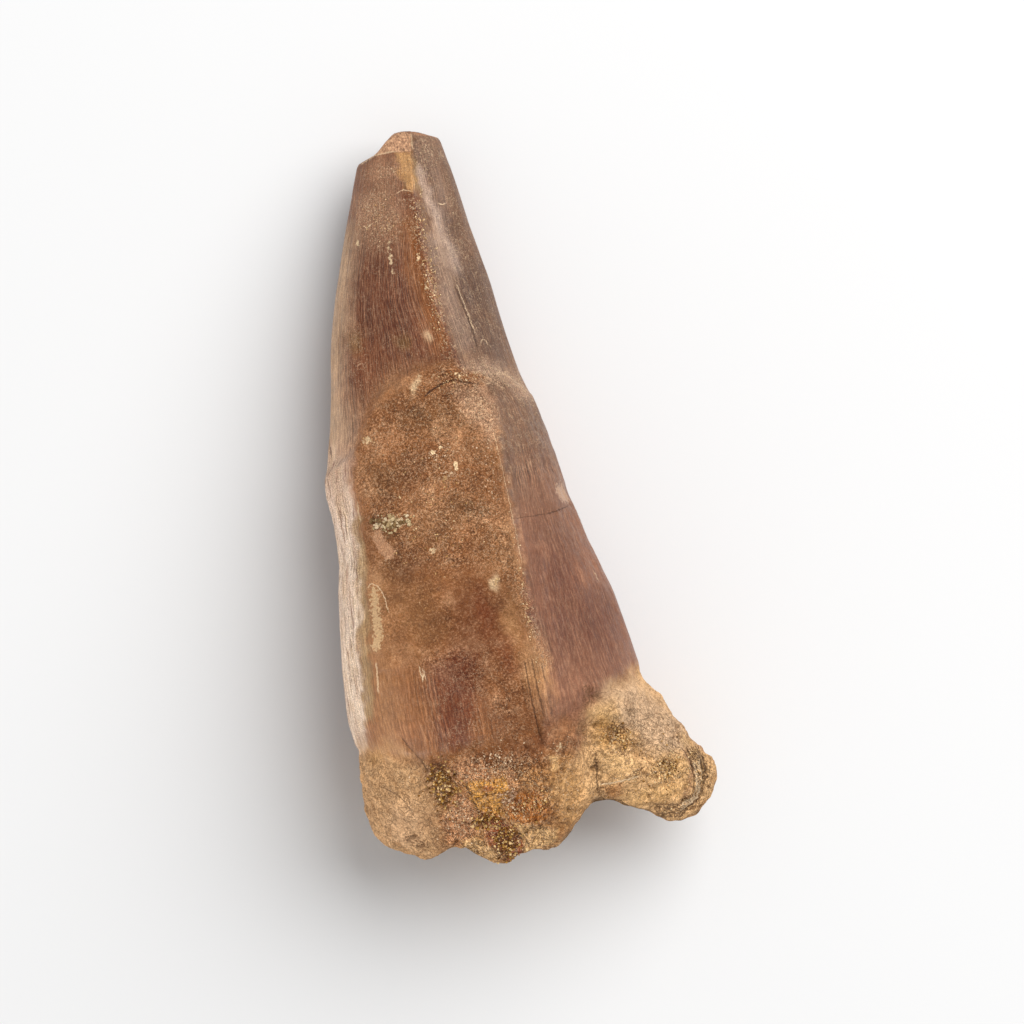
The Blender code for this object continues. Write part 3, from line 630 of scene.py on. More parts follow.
def fineRelief(points, up, crust, root):
    across, along = points[:, 0], points[:, 1]
    height = lumpsOver(points, *relief["crustGrit"]) * crust
    height += lumpsOver(points, *relief["crustSand"]) * crust
    height += lumpsOver(points, *relief["boneGrit"]) * root
    pores = relief["pores"]
    bare = root > 0.02
    poreDepth = np.zeros(len(points))
    nearest = [noise.voronoi((place / pores["spacing"]).tolist())[0][0] for place in points[bare]]
    poreDepth[bare] = 1 - smoothStep(*pores["edge"], np.array(nearest))
    patches = smoothStep(*pores["patchEdge"], noiseOver(points, *pores["patches"]))
    height -= pores["depth"] * poreDepth * root * patches
    teeth = relief["ridgeTeeth"]
    fromRidge = across - profile(tooth["ridgeAcross"], along)
    onRidge = hill(fromRidge, teeth["halfWidth"]) * smoothStep(*teeth["fades"], along) * up
    large = noiseOver(points, teeth["width"], teeth["seeds"][0])
    small = noiseOver(points, teeth["width"] / 2, teeth["seeds"][1])
    height += onRidge * teeth["height"] * (large + 0.4 * small)
    for path, halfWidth, strength in thinLines["darkLine"]:
        distance = nearestOnPath(path, across, along)[0]
        height -= up * strength * relief["crackDepth"] * hill(distance, relief["crackHalfWidth"])
    chip = smoothStep(-0.1, 0.25, insideMarks(zones["chip"], across, along)) * up
    return height - relief["chipDepth"] * chip


def grainRelief(flow, plain, strip):
    # long low ribs that run with the tooth, on the enamel and on the frayed strip at its left edge
    stretched = flow * (1, relief["foldStretch"], 1)
    ribs = []
    for height, width, seed in (relief["enamelFolds"], relief["stripFibres"]):
        ribs.append(height * noiseOver(stretched, width, seed))
    folds, fibres = ribs
    return folds * plain + fibres * strip


def vertexNormals(mesh):
    normals = np.empty(len(mesh.vertices) * 3, np.float32)
    mesh.vertex_normals.foreach_get("vector", normals)
    return normals.reshape(-1, 3).astype(float)


def addAttribute(mesh, name, values):
    values = np.asarray(values, np.float32)
    kind, field = ("FLOAT_VECTOR", "vector") if values.ndim == 2 else ("FLOAT", "value")
    mesh.attributes.new(name, kind, "POINT").data.foreach_set(field, values.ravel())


def makeToothMesh():
    rows = sidePoints()
    bm = bmesh.new()
    verts = [[bm.verts.new(point) for point in row] for row in rows.tolist()]
    columns = len(verts[0])
    for lower, upper in zip(verts, verts[1:]):
        for column in range(columns):
            after = (column + 1) % columns
            bm.faces.new((lower[column], lower[after], upper[after], upper[column]))
    closeEnd(bm, verts[0], rootEnd, tooth["rootHollow"])
    closeEnd(bm, verts[-1], tipEnd, tooth["tipHollow"])
    bmesh.ops.recalc_face_normals(bm, faces=bm.faces)
    mesh = bpy.data.meshes.new("toothSurface")
    bm.to_mesh(mesh)
    bm.free()
    return mesh, rows


def flowCoordinates(points, rows):
    # round the tooth, along it, round it: the way its grain runs, as wide all along as at mid length
    section = rows[len(rows) // 2][:, (0, 2)]
    steps = np.linalg.norm(np.roll(section, -1, axis=0) - section, axis=1)
    done = np.concatenate(([0.0], np.cumsum(steps)[:-1]))
    total = steps.sum()
    turns = np.tile(2 * np.pi * done / total, len(rows))
    around = np.zeros(len(points))
    around[:len(turns)] = np.tile(np.minimum(done, total - done), len(rows))
    flow = points.copy()
    flow[:len(turns), 0] = total / (2 * np.pi) * np.cos(turns)
    flow[:len(turns), 2] = total / (2 * np.pi) * np.sin(turns)
    return flow, around


def cover(marks, across, along, soft):
    return smoothStep(-soft, soft, insideMarks(marks, across, along))


def layTones(tone, layers, side, across, along):
    for colourName, strength, soft, marks in layers.values():
        shown = strength * side * cover(marks, across, along, soft)
        tone += (paintRgb(colourName) - tone) * shown[:, None]


def toneOver(points, normals, below, onEnd):
    # the colour of each point: washes above and below, then the two broken ends
    wide, narrow = painting["wanderWidths"]
    wander = np.stack([
        noiseOver(points, wide, seed) + 0.7 * noiseOver(points, narrow, seed)
        for seed in painting["wanderSeeds"]
    ])
    across, along = points[:, :2].T + painting["wander"] * wander
    tone = np.tile(paintRgb("enamel"), (len(points), 1))
    layTones(tone, washes, 1 - below, across, along)
    layTones(tone, underWashes, below, across, along)
    for colourName, side in painting["endTones"].items():
        broken = smoothStep(0.45, 0.8, side * normals[:, 1]) * (1 - smoothStep(0.2, 0.5, normals[:, 2]))
        broken = np.maximum(broken, onEnd & (side * (points[:, 1] - tooth["length"] / 2) > 0))
        tone += (paintRgb(colourName) - tone) * painting["endStrength"] * broken[:, None]
    return tone


def lineMarks(lines, across, along, facing):
    # for each point the nearest line: signed distance, strength, half width
    best = np.full(len(across), 9.0)
    mark = np.zeros((len(across), 3))
    mark[:, 0] = 1.0
    for path, halfWidth, strength in lines:
        distance, side, toEnd = nearestOnPath(path, across, along)
        closer = distance < best
        best = np.where(closer, distance, best)
        near = distance < painting["lineReach"]
        shown = strength * smoothStep(0.0, 0.3, toEnd + 0.02) * near * facing
        for column, values in enumerate((distance * side, shown, halfWidth)):
            mark[:, column] = np.where(closer, values, mark[:, column])
    return mark


def paintTooth(mesh, points, normals, sideCount):
    across, along = points[:, 0], points[:, 1]
    below = 1 - smoothStep(-0.35, 0.05, normals[:, 2])
    onEnd = np.arange(len(points)) >= sideCount
    facing = smoothStep(0.0, 0.25, normals[:, 2]) * ~onEnd
    tone = np.hstack((toneOver(points, normals, below, onEnd), np.ones((len(points), 1))))
    toneData = mesh.attributes.new("tone", "FLOAT_COLOR", "POINT").data
    toneData.foreach_set("color", tone.astype(np.float32).ravel())
    for name, marks in zones.items():
        onTop = insideMarks(marks, across, along) - farOutside * below
        underneath = insideMarks(underZones.get(name, {}), across, along) - farOutside * (1 - below)
        onTip = onEnd & (name == "dentine") & (along > tooth["length"] / 2)
        addAttribute(mesh, name, np.where(onTip, 1.0, np.maximum(onTop, underneath)))
    for name, (_, _, _, marks) in stains.items():
        addAttribute(mesh, name, insideMarks(marks, across, along) - farOutside * (1 - facing))
    flecks = np.full(len(points), painting["plainFlecks"])
    for strength, soft, marks in flecked.values():
        flecks = np.maximum(flecks, strength * (1 - below) * cover(marks, across, along, soft))
    addAttribute(mesh, "flecks", np.where(onEnd, painting["endFlecks"], flecks))
    for name, lines in thinLines.items():
        addAttribute(mesh, name, lineMarks(lines, across, along, facing))
    addAttribute(mesh, "bareRoot", profile(relief["enamelEnd"], across) - along)


def hollowness(height, sideCount, columns):
    # how far each point lies below what is round it, above 0 in a pit
    grid = height[:sideCount].reshape(-1, columns)
    smoothed = grid.copy()
    for _ in range(6):
        padded = np.pad(smoothed, ((1, 1), (0, 0)), mode="edge")
        smoothed = (padded[:-2] + padded[2:] + np.roll(smoothed, 1, 1) + np.roll(smoothed, -1, 1)) / 4
    found = np.zeros(len(height))
    found[:sideCount] = (smoothed - grid).ravel()
    return found


def makeTooth():
    mesh, rows = makeToothMesh()
    columns = rows.shape[1]
    sideCount = rows.shape[0] * columns
    points = np.empty(len(mesh.vertices) * 3, np.float32)
    mesh.vertices.foreach_get("co", points)
    points = points.reshape(-1, 3).astype(float)
    normals = vertexNormals(mesh)
    across, along = points[:, 0], points[:, 1]
    up = smoothStep(-0.1, 0.5, normals[:, 2])
    crust, root = crustCover(across, along, up), rootCover(across, along)
    strip = smoothStep(-0.2, 0.4, insideMarks(zones["strip"], across, along)) * (normals[:, 2] > -0.4)
    flow, around = flowCoordinates(points, rows)
    solid = solidRelief(points, up, crust, root)
    swollen = points + normals * solid[:, None]
    fine = fineRelief(swollen, up, crust, root)
    fine += grainRelief(flow, (1 - crust) * (1 - root) * (1 - strip), strip * (1 - root))
    fine[sideCount:] = 0.0
    height = solid + fine
    raised = points + normals * height[:, None]
    raised[:, 2] = np.maximum(raised[:, 2], 0.0)  # the worn flat that it lies on
    placed = (raised - (0, tooth["length"] / 2, 0)) * mm
    mesh.vertices.foreach_set("co", placed.astype(np.float32).ravel())
    mesh.update()
    addAttribute(mesh, "flow", flow)
    addAttribute(mesh, "around", around)
    addAttribute(mesh, "hollow", hollowness(height, sideCount, columns))
    paintTooth(mesh, swollen, normals, sideCount)
    mesh.shade_smooth()
    surface = bpy.data.objects.new("toothSurface", mesh)
    bpy.context.scene.collection.objects.link(surface)
    print("tooth surface:", len(mesh.polygons), "faces")
    return surface


def addNode(tree, kind, settings=None, **inputs):
    node = tree.nodes.new(kind)
    place = len(tree.nodes)
    node.location = (230 * (place // 9), -270 * (place % 9))
    for name, value in (settings or {}).items():
        setattr(node, name, value)
    for name, value in inputs.items():
        plug(tree, value, node.inputs[name.replace("_", " ")])
    return node


def plug(tree, value, socket):
    if isinstance(value, bpy.types.NodeSocket):
        tree.links.new(value, socket)
    else:
        socket.default_value = value


def calc(tree, operation, first, second=0.0, third=0.0):
    node = addNode(tree, "ShaderNodeMath", {"operation": operation})
    plug(tree, first, node.inputs[0])
    plug(tree, second, node.inputs[1])
    plug(tree, third, node.inputs[2])
    return node.outputs[0]


def times(tree, first, second):
    return calc(tree, "MULTIPLY", first, second)


def ramp(tree, value, low, high, toLow=0.0, toHigh=1.0):
    settings = {"interpolation_type": "SMOOTHSTEP"}
    node = addNode(tree, "ShaderNodeMapRange", settings, Value=value)
    for name, number in (("From Min", low), ("From Max", high), ("To Min", toLow), ("To Max", toHigh)):
        node.inputs[name].default_value = number
    return node.outputs["Result"]


def blend(tree, factor, first, second, mode="MIX"):
    node = addNode(tree, "ShaderNodeMix", {"data_type": "RGBA", "blend_type": mode})
    plug(tree, factor, node.inputs[0])
    plug(tree, first, node.inputs[6])
    plug(tree, second, node.inputs[7])
    return node.outputs[2]


def mixValue(tree, factor, first, second):
    node = addNode(tree, "ShaderNodeMix", {"data_type": "FLOAT"})
    plug(tree, factor, node.inputs[0])
    plug(tree, first, node.inputs[2])
    plug(tree, second, node.inputs[3])
    return node.outputs[0]


def attribute(tree, name, output="Fac"):
    return addNode(tree, "ShaderNodeAttribute", {"attribute_name": name}).outputs[output]


def stretch(tree, vector, factors):
    node = addNode(tree, "ShaderNodeVectorMath", {"operation": "MULTIPLY"})
    plug(tree, vector, node.inputs[0])
    plug(tree, factors, node.inputs[1])
    return node.outputs[0]


def grainNoise(tree, place, size, detail=3.0, roughness=0.55, distortion=0.0):
    node = addNode(tree, "ShaderNodeTexNoise", None, Vector=place, Scale=1.0 / size, Detail=detail,
                   Roughness=roughness, Distortion=distortion)
    return node.outputs["Fac"]


def specks(tree, place, size, share, radius):
    # small round spots: one in some of the cells of a random net
    node = addNode(tree, "ShaderNodeTexVoronoi", None, Vector=place, Scale=1.0 / size)
    chosen = addNode(tree, "ShaderNodeSeparateColor", None, Color=node.outputs["Color"])
    inCell = ramp(tree, node.outputs["Distance"], radius, radius * 0.55)
    return times(tree, inCell, calc(tree, "LESS_THAN", chosen.outputs[0], share))


# screen values of the fossil's colours
colours = {
    "enamel": (103, 54, 26), "deepEnamel": (90, 41, 15), "orangeEnamel": (128, 74, 30),
    # the grey rim's colour is partly painted sheen on the left edge
    # the grey, rose, plum and dull enamel browns of the right side are partly its own colour, partly painted
    # shade
    "greyRimAndSheen": (170, 137, 107), "greyEnamelAndShade": (104, 71, 50), "roseEnamelAndShade": (124, 79, 55),
    "plumEnamelAndShade": (90, 44, 25), "dullRightAndShade": (75, 47, 31), "speckledTop": (145, 108, 82),
    # the silver grey on this line is a painted sheen
    "darkTip": (117, 86, 65), "paintedSheen": (177, 151, 133), "stepTan": (151, 120, 97),
    "crustBrown": (132, 81, 41), "crustLight": (141, 95, 57), "crustPink": (161, 123, 96),
    "crustDark": (102, 61, 23), "tanLower": (161, 112, 70), "brownLower": (127, 81, 41),
    "redLower": (104, 53, 16), "plumLower": (97, 39, 6), "brownLow": (109, 60, 22),
    "beadTan": (167, 119, 75), "rootBrown": (162, 110, 59), "collarBeige": (180, 138, 95),
    "collarPale": (198, 157, 118), "collarGold": (169, 125, 73), "baseMauve": (190, 133, 92),
    "lowMauve": (146, 96, 58), "baseGold": (221, 157, 67), "baseAmber": (165, 96, 27),
    "pitBrown": (131, 55, 3), "rightTan": (196, 149, 95), "spurTan": (200, 157, 108),
    "spurPink": (183, 151, 120), "spurGold": (163, 116, 52), "spurOlive": (210, 164, 104),
    "spurCream": (215, 173, 118), "rust": (113, 47, 10), "breakTan": (176, 134, 90),
    "breakTip": (150, 104, 74), "blockRed": (146, 74, 32), "peach": (191, 144, 108),
    "creamStreak": (205, 172, 128), "oliveEdge": (154, 123, 83), "amber": (177, 131, 80),
    # the strip's pale and white are partly worn enamel, partly painted sheen
    "olive": (122, 95, 42), "dentineOrange": (181, 136, 103), "stripPaleAndSheen": (214, 192, 174),
    "stripShade": (176, 142, 120), "stripWhiteAndSheen": (226, 204, 182), "chipTan": (186, 150, 122),
    "hollowTan": (164, 112, 62), "endMauve": (130, 88, 62), "cream": (214, 186, 146),
    "pitDark": (84, 49, 15), "line": (64, 38, 22), "sandPale": (222, 192, 154),
}


def paint(name):
    # a named colour, turned from screen values to the linear ones that shaders take
    values = [value / 255 for value in colours[name]]
    return [value / 12.92 if value < 0.04 else ((value + 0.055) / 1.055) ** 2.4 for value in values] + [1.0]


def paintRgb(name):
    return np.array(paint(name)[:3])


def darker(tree, colour, share):
    return blend(tree, 1.0, colour, (share, share * 0.93, share * 0.88, 1.0), "MULTIPLY")


def browner(tree, colour, share):
    return blend(tree, 1.0, colour, (share, share * 0.82, share * 0.62, 1.0), "MULTIPLY")


def lighter(tree, colour, sandShare):
    bright = blend(tree, 1.0, colour, (1.7, 1.65, 1.6, 1.0), "MULTIPLY")
    return blend(tree, sandShare, bright, paint("sandPale"))


def grained(tree, colour, grain, spread, shade, shadow=darker):
    # the same colour, darker where the grain noise is low and paler where it is high
    dark, pale = shade
    colour = blend(tree, ramp(tree, grain, 0.5, 0.5 - spread, 0.0, dark), colour, shadow(tree, colour, 0.4))
    return blend(tree, ramp(tree, grain, 0.5, 0.5 + spread, 0.0, pale), colour, lighter(tree, colour, 0.3))


def wormLines(tree, place, size, width):
    wave = calc(tree, "SUBTRACT", grainNoise(tree, place, size, 3.0, 0.6, 0.5), 0.5)
    return ramp(tree, calc(tree, "ABSOLUTE", wave), width, width * 0.25)


# how each kind of surface is drawn. Sizes and depths are in millimetres, and strengths go from 0 to 1. A net
# says how many cells of noise there are to a millimetre, round the tooth and along it; an edge is how
# ragged and how soft the border is; a shade is how much of the dark and of the pale the noise brings out
looks = {
    "enamel": {
        "ribSpacing": 0.31, "ribBend": 14.0,
        "bendNet": (1.1, 0.16, 1.1), "strengthNet": (0.6, 0.25, 0.6),
        "grainNet": (6.5, 0.22, 6.5), "grainShade": (0.45, 0.25),
        "fineNet": (11.0, 1.6, 11.0), "fineShade": (0.55, 0.4),
        "seams": (0.1, 0.6), "crests": (0.0, 0.35),
        "seamDepth": 0.03, "grainDepth": 0.05,
        "roughness": (0.38, 0.52),
    },
    "crust": {
        "edge": (1.2, 0.9),
        "patches": 3.4, "patchShade": (0.3, 0.3), "mottle": 1.1, "mottleShade": (0.45, 0.45),
        "unevenness": 2.4, "grit": 0.18, "gritShade": (0.7, 0.7), "gritDepth": 0.17,
        "cracks": 0.9, "crackWidth": 0.018, "crackStrength": 0.7,
        "roughness": 0.8,
    },
    "strip": {
        "edge": (0.7, 0.6),
        "fibreNet": (7.0, 0.3, 7.0), "fibreDepth": 0.12,
        "splitNet": (3.0, 0.12, 3.0), "splitDepth": 0.06, "splitStrength": 0.75,
        "stains": 2.2, "stainStrength": 0.45,
        "roughness": 0.62,
    },
    "bareRoot": {
        "edge": (1.6, 0.8),
        "mottle": 1.3, "mottleShade": (0.32, 0.32),
        "fibreNet": (5.5, 3.0, 5.5), "fibreShade": (0.85, 0.85), "fibreDepth": 0.22,
        "worms": 0.6, "wormWidth": 0.03, "wormStrength": 0.75, "wormDepth": 0.12,
        "pores": 0.4, "poreShare": 0.28, "poreRadius": 0.3, "poreStrength": 0.7,
        "roughness": 0.86,
    },
    "dentine": {
        "edge": (0.2, 0.08),
        "fibreNet": (6.5, 3.5, 6.5), "fibreShade": (0.9, 0.7), "fibreDepth": 0.14,
        "roughness": 0.72,
    },
    "flecks": {
        "size": 0.14, "patches": 0.9, "paleStrength": 0.7, "darkStrength": 0.6,
        "crazing": 0.55, "crazingWidth": 0.02, "crazingStrength": 0.6,
        "depth": 0.05,
    },
    "sand": {"clouds": 0.12, "depth": 0.04, "roughness": (0.6, 0.85), "specular": 0.08},
    "edges": 0.8, "fineEdges": 0.25, "stainSoftness": 0.08,
    "toneWander": 3.2, "toneShade": 0.3,
    "hollows": (0.03, 0.2), "hollowShade": 0.4,
    "lineWobble": 0.27, "lineDepth": 0.1,
    "speckle": 0.09, "speckleDepth": 0.02,
    "specular": 0.3,
}


def enamelFinish(tree, tone, place, flow):
    look = looks["enamel"]
    around = attribute(tree, "around")
    flecks = attribute(tree, "flecks")
    calm = times(tree, ramp(tree, flecks, 0.0, 0.2, 0.45, 1.0), ramp(tree, flecks, 0.22, 0.4, 1.0, 0.6))
    bend = grainNoise(tree, stretch(tree, flow, look["bendNet"]), 1.0, 3.0, 0.6)
    turns = 2 * math.pi / look["ribSpacing"]
    ribs = calc(tree, "SINE", calc(tree, "MULTIPLY_ADD", around, turns, times(tree, bend, look["ribBend"])))
    strength = grainNoise(tree, stretch(tree, flow, look["strengthNet"]), 1.0, 3.0, 0.6)
    broken = grainNoise(tree, stretch(tree, flow, look["grainNet"]), 1.0, 2.5, 0.55)
    fine = grainNoise(tree, stretch(tree, flow, look["fineNet"]), 1.0, 2.0, 0.6)
    seams = times(tree, ramp(tree, ribs, 0.2, 0.95), ramp(tree, strength, 0.38, 0.62, *look["seams"]))
    crests = times(tree, ramp(tree, ribs, -0.3, -0.95), ramp(tree, broken, 0.42, 0.6, *look["crests"]))
    colour = blend(tree, seams, tone, darker(tree, tone, 0.45))
    colour = blend(tree, crests, colour, lighter(tree, tone, 0.08))
    colour = grained(tree, colour, broken, 0.18, look["grainShade"])
    colour = grained(tree, colour, fine, 0.16, look["fineShade"])
    colour = blend(tree, calm, tone, colour)
    height = calc(tree, "MULTIPLY_ADD", seams, -look["seamDepth"], times(tree, broken, look["grainDepth"]))
    gloss = ramp(tree, grainNoise(tree, place, 1.6, 3.0), 0.35, 0.65, *look["roughness"])
    return colour, times(tree, height, calm), gloss


def crustFinish(tree, tone, place, flow):
    look = looks["crust"]
    patches = grainNoise(tree, place, look["patches"], 3.0, 0.6)
    mottle = grainNoise(tree, place, look["mottle"], 6.0, 0.75)
    uneven = ramp(tree, grainNoise(tree, place, look["unevenness"], 3.0), 0.38, 0.6, 0.6, 1.0)
    gritty = times(tree, uneven, ramp(tree, attribute(tree, "flecks"), 0.05, 0.4, 0.6, 1.0))
    grit = grainNoise(tree, place, look["grit"], 3.0, 0.62)
    colour = grained(tree, tone, patches, 0.16, look["patchShade"], browner)
    colour = grained(tree, colour, mottle, 0.18, look["mottleShade"], browner)
    speckled = grained(tree, colour, grit, 0.16, look["gritShade"], browner)
    colour = blend(tree, gritty, colour, speckled)
    cracks = times(tree, wormLines(tree, place, look["cracks"], look["crackWidth"]), gritty)
    colour = blend(tree, times(tree, cracks, look["crackStrength"]), colour, darker(tree, tone, 0.3))
    return colour, times(tree, grit, look["gritDepth"]), look["roughness"]


def boneFinish(tree, tone, place, flow):
    look = looks["bareRoot"]
    mottle = grainNoise(tree, place, look["mottle"], 5.0, 0.68)
    fibres = grainNoise(tree, stretch(tree, flow, look["fibreNet"]), 1.0, 3.0, 0.65, 0.5)
    gritty = ramp(tree, attribute(tree, "flecks"), 0.1, 0.8, 0.3, 1.0)
    colour = grained(tree, tone, mottle, 0.17, look["mottleShade"], browner)
    rough = grained(tree, colour, fibres, 0.14, look["fibreShade"], browner)
    worms = wormLines(tree, place, look["worms"], look["wormWidth"])
    rough = blend(tree, times(tree, worms, look["wormStrength"]), rough, browner(tree, tone, 0.36))
    colour = blend(tree, gritty, colour, rough)
    pores = times(tree, specks(tree, place, look["pores"], look["poreShare"], look["poreRadius"]), gritty)
    colour = blend(tree, times(tree, pores, look["poreStrength"]), colour, paint("pitDark"))
    carved = calc(tree, "MULTIPLY_ADD", worms, -look["wormDepth"], times(tree, fibres, look["fibreDepth"]))
    return colour, times(tree, carved, gritty), look["roughness"]


def stripFinish(tree, tone, place, flow):
    look = looks["strip"]
    fibres = grainNoise(tree, stretch(tree, flow, look["fibreNet"]), 1.0, 3.0, 0.65)
    splits = grainNoise(tree, stretch(tree, flow, look["splitNet"]), 1.0, 2.0, 0.5)
    stain = grainNoise(tree, place, look["stains"], 4.0, 0.6)
    stained = ramp(tree, stain, 0.42, 0.7, 0.0, look["stainStrength"])
    colour = blend(tree, stained, tone, paint("collarBeige"))
    colour = blend(tree, ramp(tree, fibres, 0.5, 0.36, 0.0, 0.8), colour, paint("stripShade"))
    colour = blend(tree, ramp(tree, fibres, 0.54, 0.64, 0.0, 0.6), colour, paint("sandPale"))
    away = calc(tree, "ABSOLUTE", calc(tree, "SUBTRACT", splits, 0.5))
    split = ramp(tree, away, 0.022, 0.006, 0.0, look["splitStrength"])
    colour = blend(tree, split, colour, paint("plumLower"))
    height = calc(tree, "MULTIPLY_ADD", split, -look["splitDepth"], times(tree, fibres, look["fibreDepth"]))
    return colour, height, look["roughness"]


def dentineFinish(tree, tone, place, flow):
    look = looks["dentine"]
    dark, pale = look["fibreShade"]
    fibres = grainNoise(tree, stretch(tree, place, look["fibreNet"]), 1.0, 4.0, 0.7, 0.6)
    base = paint("dentineOrange")
    colour = blend(tree, ramp(tree, fibres, 0.5, 0.38, 0.0, dark), base, darker(tree, base, 0.4))
    colour = blend(tree, ramp(tree, fibres, 0.52, 0.64, 0.0, pale), colour, lighter(tree, base, 0.3))
    return colour, times(tree, fibres, look["fibreDepth"]), look["roughness"]


def wobble(tree, edgeNoise, reach):
    return times(tree, calc(tree, "SUBTRACT", edgeNoise, 0.5), reach)


def layerMask(tree, name, edgeNoise, ragged, soft):
    distance = attribute(tree, name)
    return ramp(tree, calc(tree, "ADD", distance, wobble(tree, edgeNoise, 2 * ragged)), -soft, soft)


def lineMask(tree, name, edgeNoise):
    parts = addNode(tree, "ShaderNodeSeparateXYZ", None, Vector=attribute(tree, name, "Vector"))
    moved = wobble(tree, edgeNoise, looks["lineWobble"])
    away = calc(tree, "ABSOLUTE", calc(tree, "ADD", parts.outputs["X"], moved))
    near = calc(tree, "SUBTRACT", 1.35, calc(tree, "DIVIDE", away, parts.outputs["Z"]))
    return times(tree, ramp(tree, near, 0.0, 0.9), parts.outputs["Y"])


def fleckedColour(tree, colour, place, density):
    # scattered crumbs of sand, pale on top and dark between, more of them where density is high
    look = looks["flecks"]
    fleckNoise = grainNoise(tree, place, look["size"], 2.0, 0.6)
    patches = grainNoise(tree, place, look["patches"], 3.0, 0.6)
    amount = times(tree, density, ramp(tree, patches, 0.3, 0.62))
    crazing = times(tree, wormLines(tree, place, look["crazing"], look["crazingWidth"]), amount)
    colour = blend(tree, times(tree, crazing, look["crazingStrength"]), colour, paint("sandPale"))
    palePlaces = times(tree, ramp(tree, fleckNoise, 0.58, 0.68), amount)
    darkPlaces = times(tree, ramp(tree, fleckNoise, 0.42, 0.32), amount)
    colour = blend(tree, times(tree, palePlaces, look["paleStrength"]), colour, paint("sandPale"))
    darkShown = times(tree, darkPlaces, look["darkStrength"])
    return blend(tree, darkShown, colour, browner(tree, colour, 0.4)), palePlaces


def wanderedTone(tree, place):
    wander = grainNoise(tree, place, looks["toneWander"], 4.0, 0.6)
    shade = looks["toneShade"]
    tone = attribute(tree, "tone", "Color")
    tone = blend(tree, ramp(tree, wander, 0.5, 0.3, 0.0, shade), tone, browner(tree, tone, 0.6))
    return blend(tree, ramp(tree, wander, 0.5, 0.72, 0.0, shade), tone, lighter(tree, tone, 0.05))


def newMaterial(name):
    material = bpy.data.materials.new(name)
    material.use_nodes = True
    return material, material.node_tree, material.node_tree.nodes["Principled BSDF"]


def inMillimetres(tree):
    return stretch(tree, addNode(tree, "ShaderNodeTexCoord").outputs["Object"], (1000.0, 1000.0, 1000.0))


def toothMaterial():
    material, tree, shader = newMaterial("fossil enamel, crust and bone")
    place = inMillimetres(tree)
    flow = attribute(tree, "flow", "Vector")
    edge = grainNoise(tree, place, looks["edges"], 4.0, 0.66)
    fineEdge = grainNoise(tree, place, looks["fineEdges"], 3.0, 0.6)
    tone = wanderedTone(tree, place)
    colour, height, roughness = enamelFinish(tree, tone, place, flow)
    finishes = {"crust": crustFinish, "strip": stripFinish, "bareRoot": boneFinish, "dentine": dentineFinish}
    drawn = {name: finish(tree, tone, place, flow) for name, finish in finishes.items()}
    for name, (coverColour, coverHeight, coverRoughness) in drawn.items():
        mask = layerMask(tree, name, edge, *looks[name]["edge"])
        colour = blend(tree, mask, colour, coverColour)
        height = mixValue(tree, mask, height, coverHeight)
        roughness = mixValue(tree, mask, roughness, coverRoughness)
    for name, (colourName, strength, ragged, _) in stains.items():
        mask = times(tree, layerMask(tree, name, fineEdge, ragged, looks["stainSoftness"]), strength)
        colour = blend(tree, mask, colour, paint(colourName))
    colour, flecks = fleckedColour(tree, colour, place, attribute(tree, "flecks"))
    # browner in the pits and paler on the raised places
    hollow = attribute(tree, "hollow")
    shallow, deep = looks["hollows"]
    shade = looks["hollowShade"]
    colour = blend(tree, ramp(tree, hollow, shallow, deep, 0.0, shade), colour, browner(tree, colour, 0.4))
    colour = blend(tree, ramp(tree, hollow, -shallow, -deep, 0.0, shade), colour, lighter(tree, colour, 0.1))
    darkLines = lineMask(tree, "darkLine", fineEdge)
    paleLines = lineMask(tree, "paleLine", fineEdge)
    colour = blend(tree, darkLines, colour, paint("line"))
    colour = blend(tree, paleLines, colour, paint("sandPale"))
    speckle = grainNoise(tree, place, looks["speckle"], 2.0, 0.6)
    crumbs = blend(tree, ramp(tree, speckle, 0.38, 0.62), (0.6, 0.58, 0.55, 1), (1.4, 1.4, 1.4, 1))
    crumbStrength = ramp(tree, attribute(tree, "flecks"), 0.0, 0.9, 0.35, 1.0)
    colour = blend(tree, crumbStrength, colour, blend(tree, 1.0, colour, crumbs, "MULTIPLY"))
    height = calc(tree, "SUBTRACT", height, times(tree, darkLines, looks["lineDepth"]))
    height = calc(tree, "ADD", height, times(tree, flecks, looks["flecks"]["depth"]))
    height = calc(tree, "ADD", height, times(tree, speckle, looks["speckleDepth"]))
    bump = addNode(tree, "ShaderNodeBump", None, Height=height, Distance=mm, Strength=1.0)
    plug(tree, colour, shader.inputs["Base Color"])
    plug(tree, roughness, shader.inputs["Roughness"])
    plug(tree, bump.outputs["Normal"], shader.inputs["Normal"])
    shader.inputs["Specular IOR Level"].default_value = looks["specular"]
    return material


